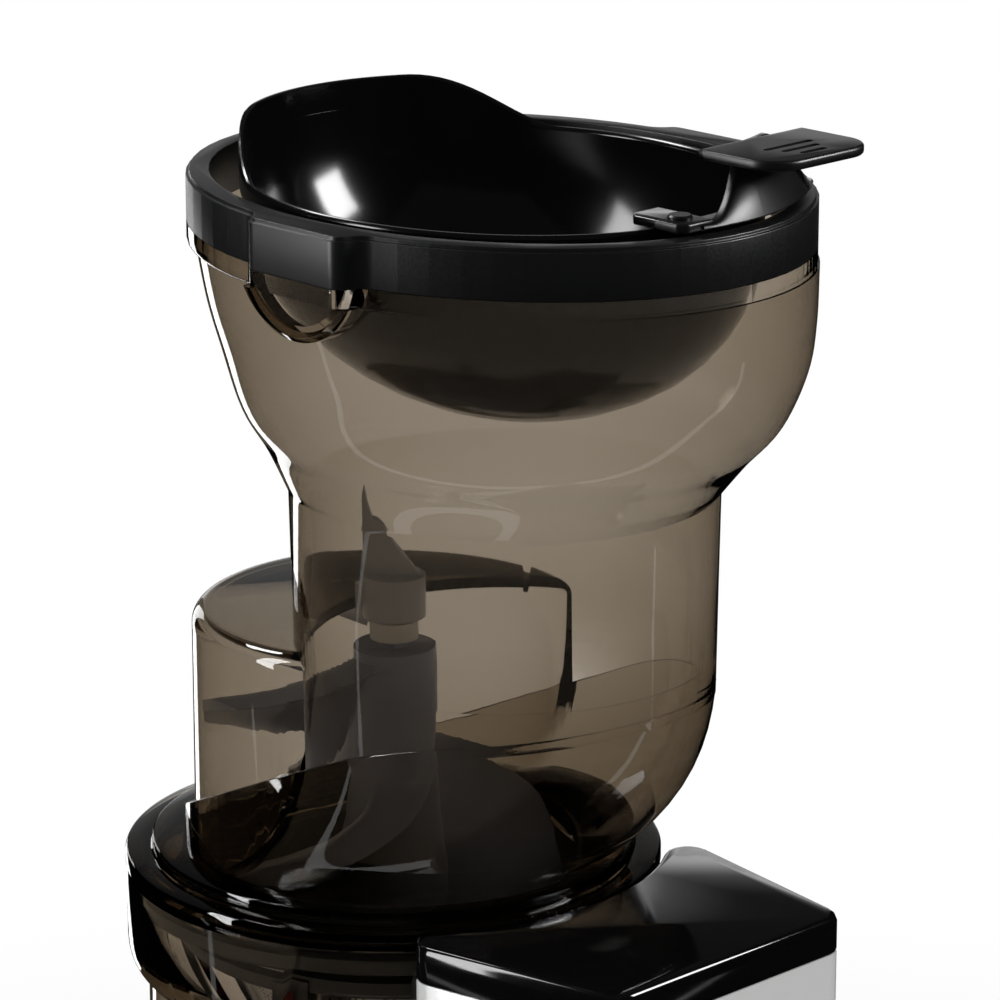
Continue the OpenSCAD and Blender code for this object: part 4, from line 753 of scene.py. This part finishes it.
studio = {
    "camera": (0.8389, 0.8644, 0.7292), "right": (-0.7114, 0.7028, 0.0), "up": (-0.1971, -0.1995, 0.9599),
    "back": (0.6746, 0.6828, 0.2805), "lens": 178.6,
    # name: place, aimed at, size, radiance
    "lamps": {
        "keyLamp": ((0.16, -0.86, 1.36), (0, 0, 0.45), (0.3, 0.3), 24),
        "leftLamp": ((1.0, -0.55, 0.62), (0, 0, 0.33), (0.25, 1.1), 15),
        "rimLamp": ((-0.14, -0.52, 0.26), (0, 0, 0.3), (0.1, 0.5), 3),
        "rightLamp": ((-0.7, 0.82, 0.92), (0, 0, 0.45), (0.4, 0.4), 30),
    },
    # name: place, width, height, tilt from lying flat, turn
    "cards": {
        "frontFloorCard": ((0.86, 0.87, 0.004), 5.0, 2.2, 0, -45),
        "rearFloorCard": ((-0.92, -0.93, 0.004), 5.0, 2.8, 0, -45),
        "frontCard": ((1.75, 1.77, 0.9), 5.0, 1.9, 90, -45),
        "leftCard": ((0.86, -0.85, 0.9), 9.0, 1.9, 90, 45),
        "rightCard": ((-0.86, 0.85, 0.9), 9.0, 1.9, 90, 45),
    },
    "sky": [(0.0, 1.0), (0.54, 1.0), (0.61, 0.25), (0.7, 0.06), (1.0, 0.03)],
    "fill": 0.6,
    # the floor's two greys, and how much it glows from near to far, in metres and in share
    "floor": {"radius": 12, "greys": (0.8, 0.84), "near": (0.15, 0.55), "far": (0.7, 1.0)},
}


def makeLamps():
    for name, (place, aim, size, radiance) in studio["lamps"].items():
        lamp = bpy.data.lights.new(name, "AREA")
        lamp.shape = "RECTANGLE"
        lamp.size, lamp.size_y = size
        lamp.energy = radiance * pi * size[0] * size[1]
        holder = bpy.data.objects.new(name, lamp)
        scene.collection.objects.link(holder)
        holder.location = place
        holder.rotation_euler = (Vector(aim) - Vector(place)).to_track_quat("-Z", "Y").to_euler()
        holder.visible_camera = holder.visible_transmission = False
        holder.visible_diffuse = name == "keyLamp"  # the others only draw their shine


# Black cards around the machine, seen in its shine alone
def makeCards():
    black, nodes, links, shader, place = newMaterial("blackCard")
    grain = noise(nodes, links, place, 30.0)
    colour = tinted(nodes, links, grain, (0.002, 0.002, 0.002), (0.004, 0.004, 0.004))
    links.new(colour, shader.inputs["Base Color"])
    shader.inputs["Roughness"].default_value = 0.9
    shader.inputs["Specular IOR Level"].default_value = 0.0
    for name, (spot, wide, high, tilt, turn) in studio["cards"].items():
        bm = bmesh.new()
        bmesh.ops.create_grid(bm, x_segments=1, y_segments=1, size=0.5)
        stand = Matrix.Translation(spot) @ Matrix.Rotation(radians(turn), 4, "Z")
        stand = stand @ Matrix.Rotation(radians(tilt), 4, "X") @ Matrix.Diagonal((wide, high, 1, 1))
        bmesh.ops.transform(bm, verts=bm.verts, matrix=stand)
        mesh = bpy.data.meshes.new(name)
        bm.to_mesh(mesh)
        bm.free()
        mesh.materials.append(black)
        card = bpy.data.objects.new(name, mesh)
        scene.collection.objects.link(card)
        card.visible_camera = card.visible_diffuse = card.visible_transmission = card.visible_shadow = False


def makeCamera():
    camera = bpy.data.objects.new("camera", bpy.data.cameras.new("camera"))
    scene.collection.objects.link(camera)
    camera.data.lens = studio["lens"]
    camera.data.sensor_width = 36
    camera.data.clip_start, camera.data.clip_end = 0.01, 50
    turn = Matrix((studio["right"], studio["up"], studio["back"])).transposed().to_4x4()
    camera.matrix_world = Matrix.Translation(studio["camera"]) @ turn
    scene.camera = camera


# One when the ray comes straight from the camera, off gloss or through clear plastic
def seenRay(nodes, links):
    path = nodes.new("ShaderNodeLightPath")
    total = path.outputs["Is Camera Ray"]
    for name in ("Is Glossy Ray", "Is Transmission Ray"):
        larger = nodes.new("ShaderNodeMath")
        larger.operation = "MAXIMUM"
        links.new(total, larger.inputs[0])
        links.new(path.outputs[name], larger.inputs[1])
        total = larger.outputs["Value"]
    return path, total


def makeWorld():
    world = bpy.data.worlds.new("studioWorld")
    scene.world = world
    world.use_nodes = True
    nodes, links = world.node_tree.nodes, world.node_tree.links
    fill = nodes["Background"]
    fill.inputs["Color"].default_value = (studio["fill"],) * 3 + (1,)
    fill.inputs["Strength"].default_value = 1.0
    backdrop, room = nodes.new("ShaderNodeBackground"), nodes.new("ShaderNodeBackground")
    backdrop.inputs["Color"].default_value = (1, 1, 1, 1)
    place = nodes.new("ShaderNodeTexCoord")
    parts = nodes.new("ShaderNodeSeparateXYZ")
    ramp = nodes.new("ShaderNodeValToRGB")
    links.new(place.outputs["Generated"], parts.inputs["Vector"])
    links.new(spread(nodes, links, parts.outputs["Z"], 0, 1, -1, 1), ramp.inputs["Fac"])
    stops = ramp.color_ramp.elements
    for i, (at, grey) in enumerate(studio["sky"]):
        stop = stops[0] if i == 0 else stops[-1] if at == 1.0 else stops.new(at)
        stop.color = (grey, grey, grey, 1)
    links.new(ramp.outputs["Color"], room.inputs["Color"])
    path, seen = seenRay(nodes, links)
    lit, shown = nodes.new("ShaderNodeMixShader"), nodes.new("ShaderNodeMixShader")
    links.new(path.outputs["Is Camera Ray"], shown.inputs["Fac"])
    links.new(room.outputs["Background"], shown.inputs[1])
    links.new(backdrop.outputs["Background"], shown.inputs[2])
    links.new(seen, lit.inputs["Fac"])
    links.new(fill.outputs["Background"], lit.inputs[1])
    links.new(shown.outputs["Shader"], lit.inputs[2])
    links.new(lit.outputs["Shader"], nodes["World Output"].inputs["Surface"])


def makeFloor():
    look = studio["floor"]
    (near, least), (far, most) = look["near"], look["far"]
    bm = bmesh.new()
    bmesh.ops.create_circle(bm, cap_ends=True, radius=look["radius"], segments=64)
    mesh = bpy.data.meshes.new("floor")
    bm.to_mesh(mesh)
    bm.free()
    floor = bpy.data.objects.new("floor", mesh)
    scene.collection.objects.link(floor)
    made, nodes, links, shader, place = newMaterial("paleFloor")
    shader.inputs["Roughness"].default_value = 0.6
    shader.inputs["Specular IOR Level"].default_value = 0.1
    grain = noise(nodes, links, place, 60.0)
    greys = [(grey, grey, grey) for grey in look["greys"]]
    links.new(tinted(nodes, links, grain, *greys), shader.inputs["Base Color"])
    glow = nodes.new("ShaderNodeEmission")
    away = nodes.new("ShaderNodeVectorMath")
    away.operation = "LENGTH"
    links.new(place, away.inputs[0])
    amount = spread(nodes, links, away.outputs["Value"], least, most, near, far)
    seen = seenRay(nodes, links)[1]
    share = nodes.new("ShaderNodeMath")
    share.operation = "MULTIPLY"
    links.new(seen, share.inputs[0])
    links.new(amount, share.inputs[1])
    mix = nodes.new("ShaderNodeMixShader")
    links.new(share.outputs["Value"], mix.inputs["Fac"])
    links.new(shader.outputs["BSDF"], mix.inputs[1])
    links.new(glow.outputs["Emission"], mix.inputs[2])
    links.new(mix.outputs["Shader"], nodes["Material Output"].inputs["Surface"])
    mesh.materials.append(made)


makeLamps()
makeCards()
makeCamera()
makeWorld()
makeFloor()
print("stage ready")
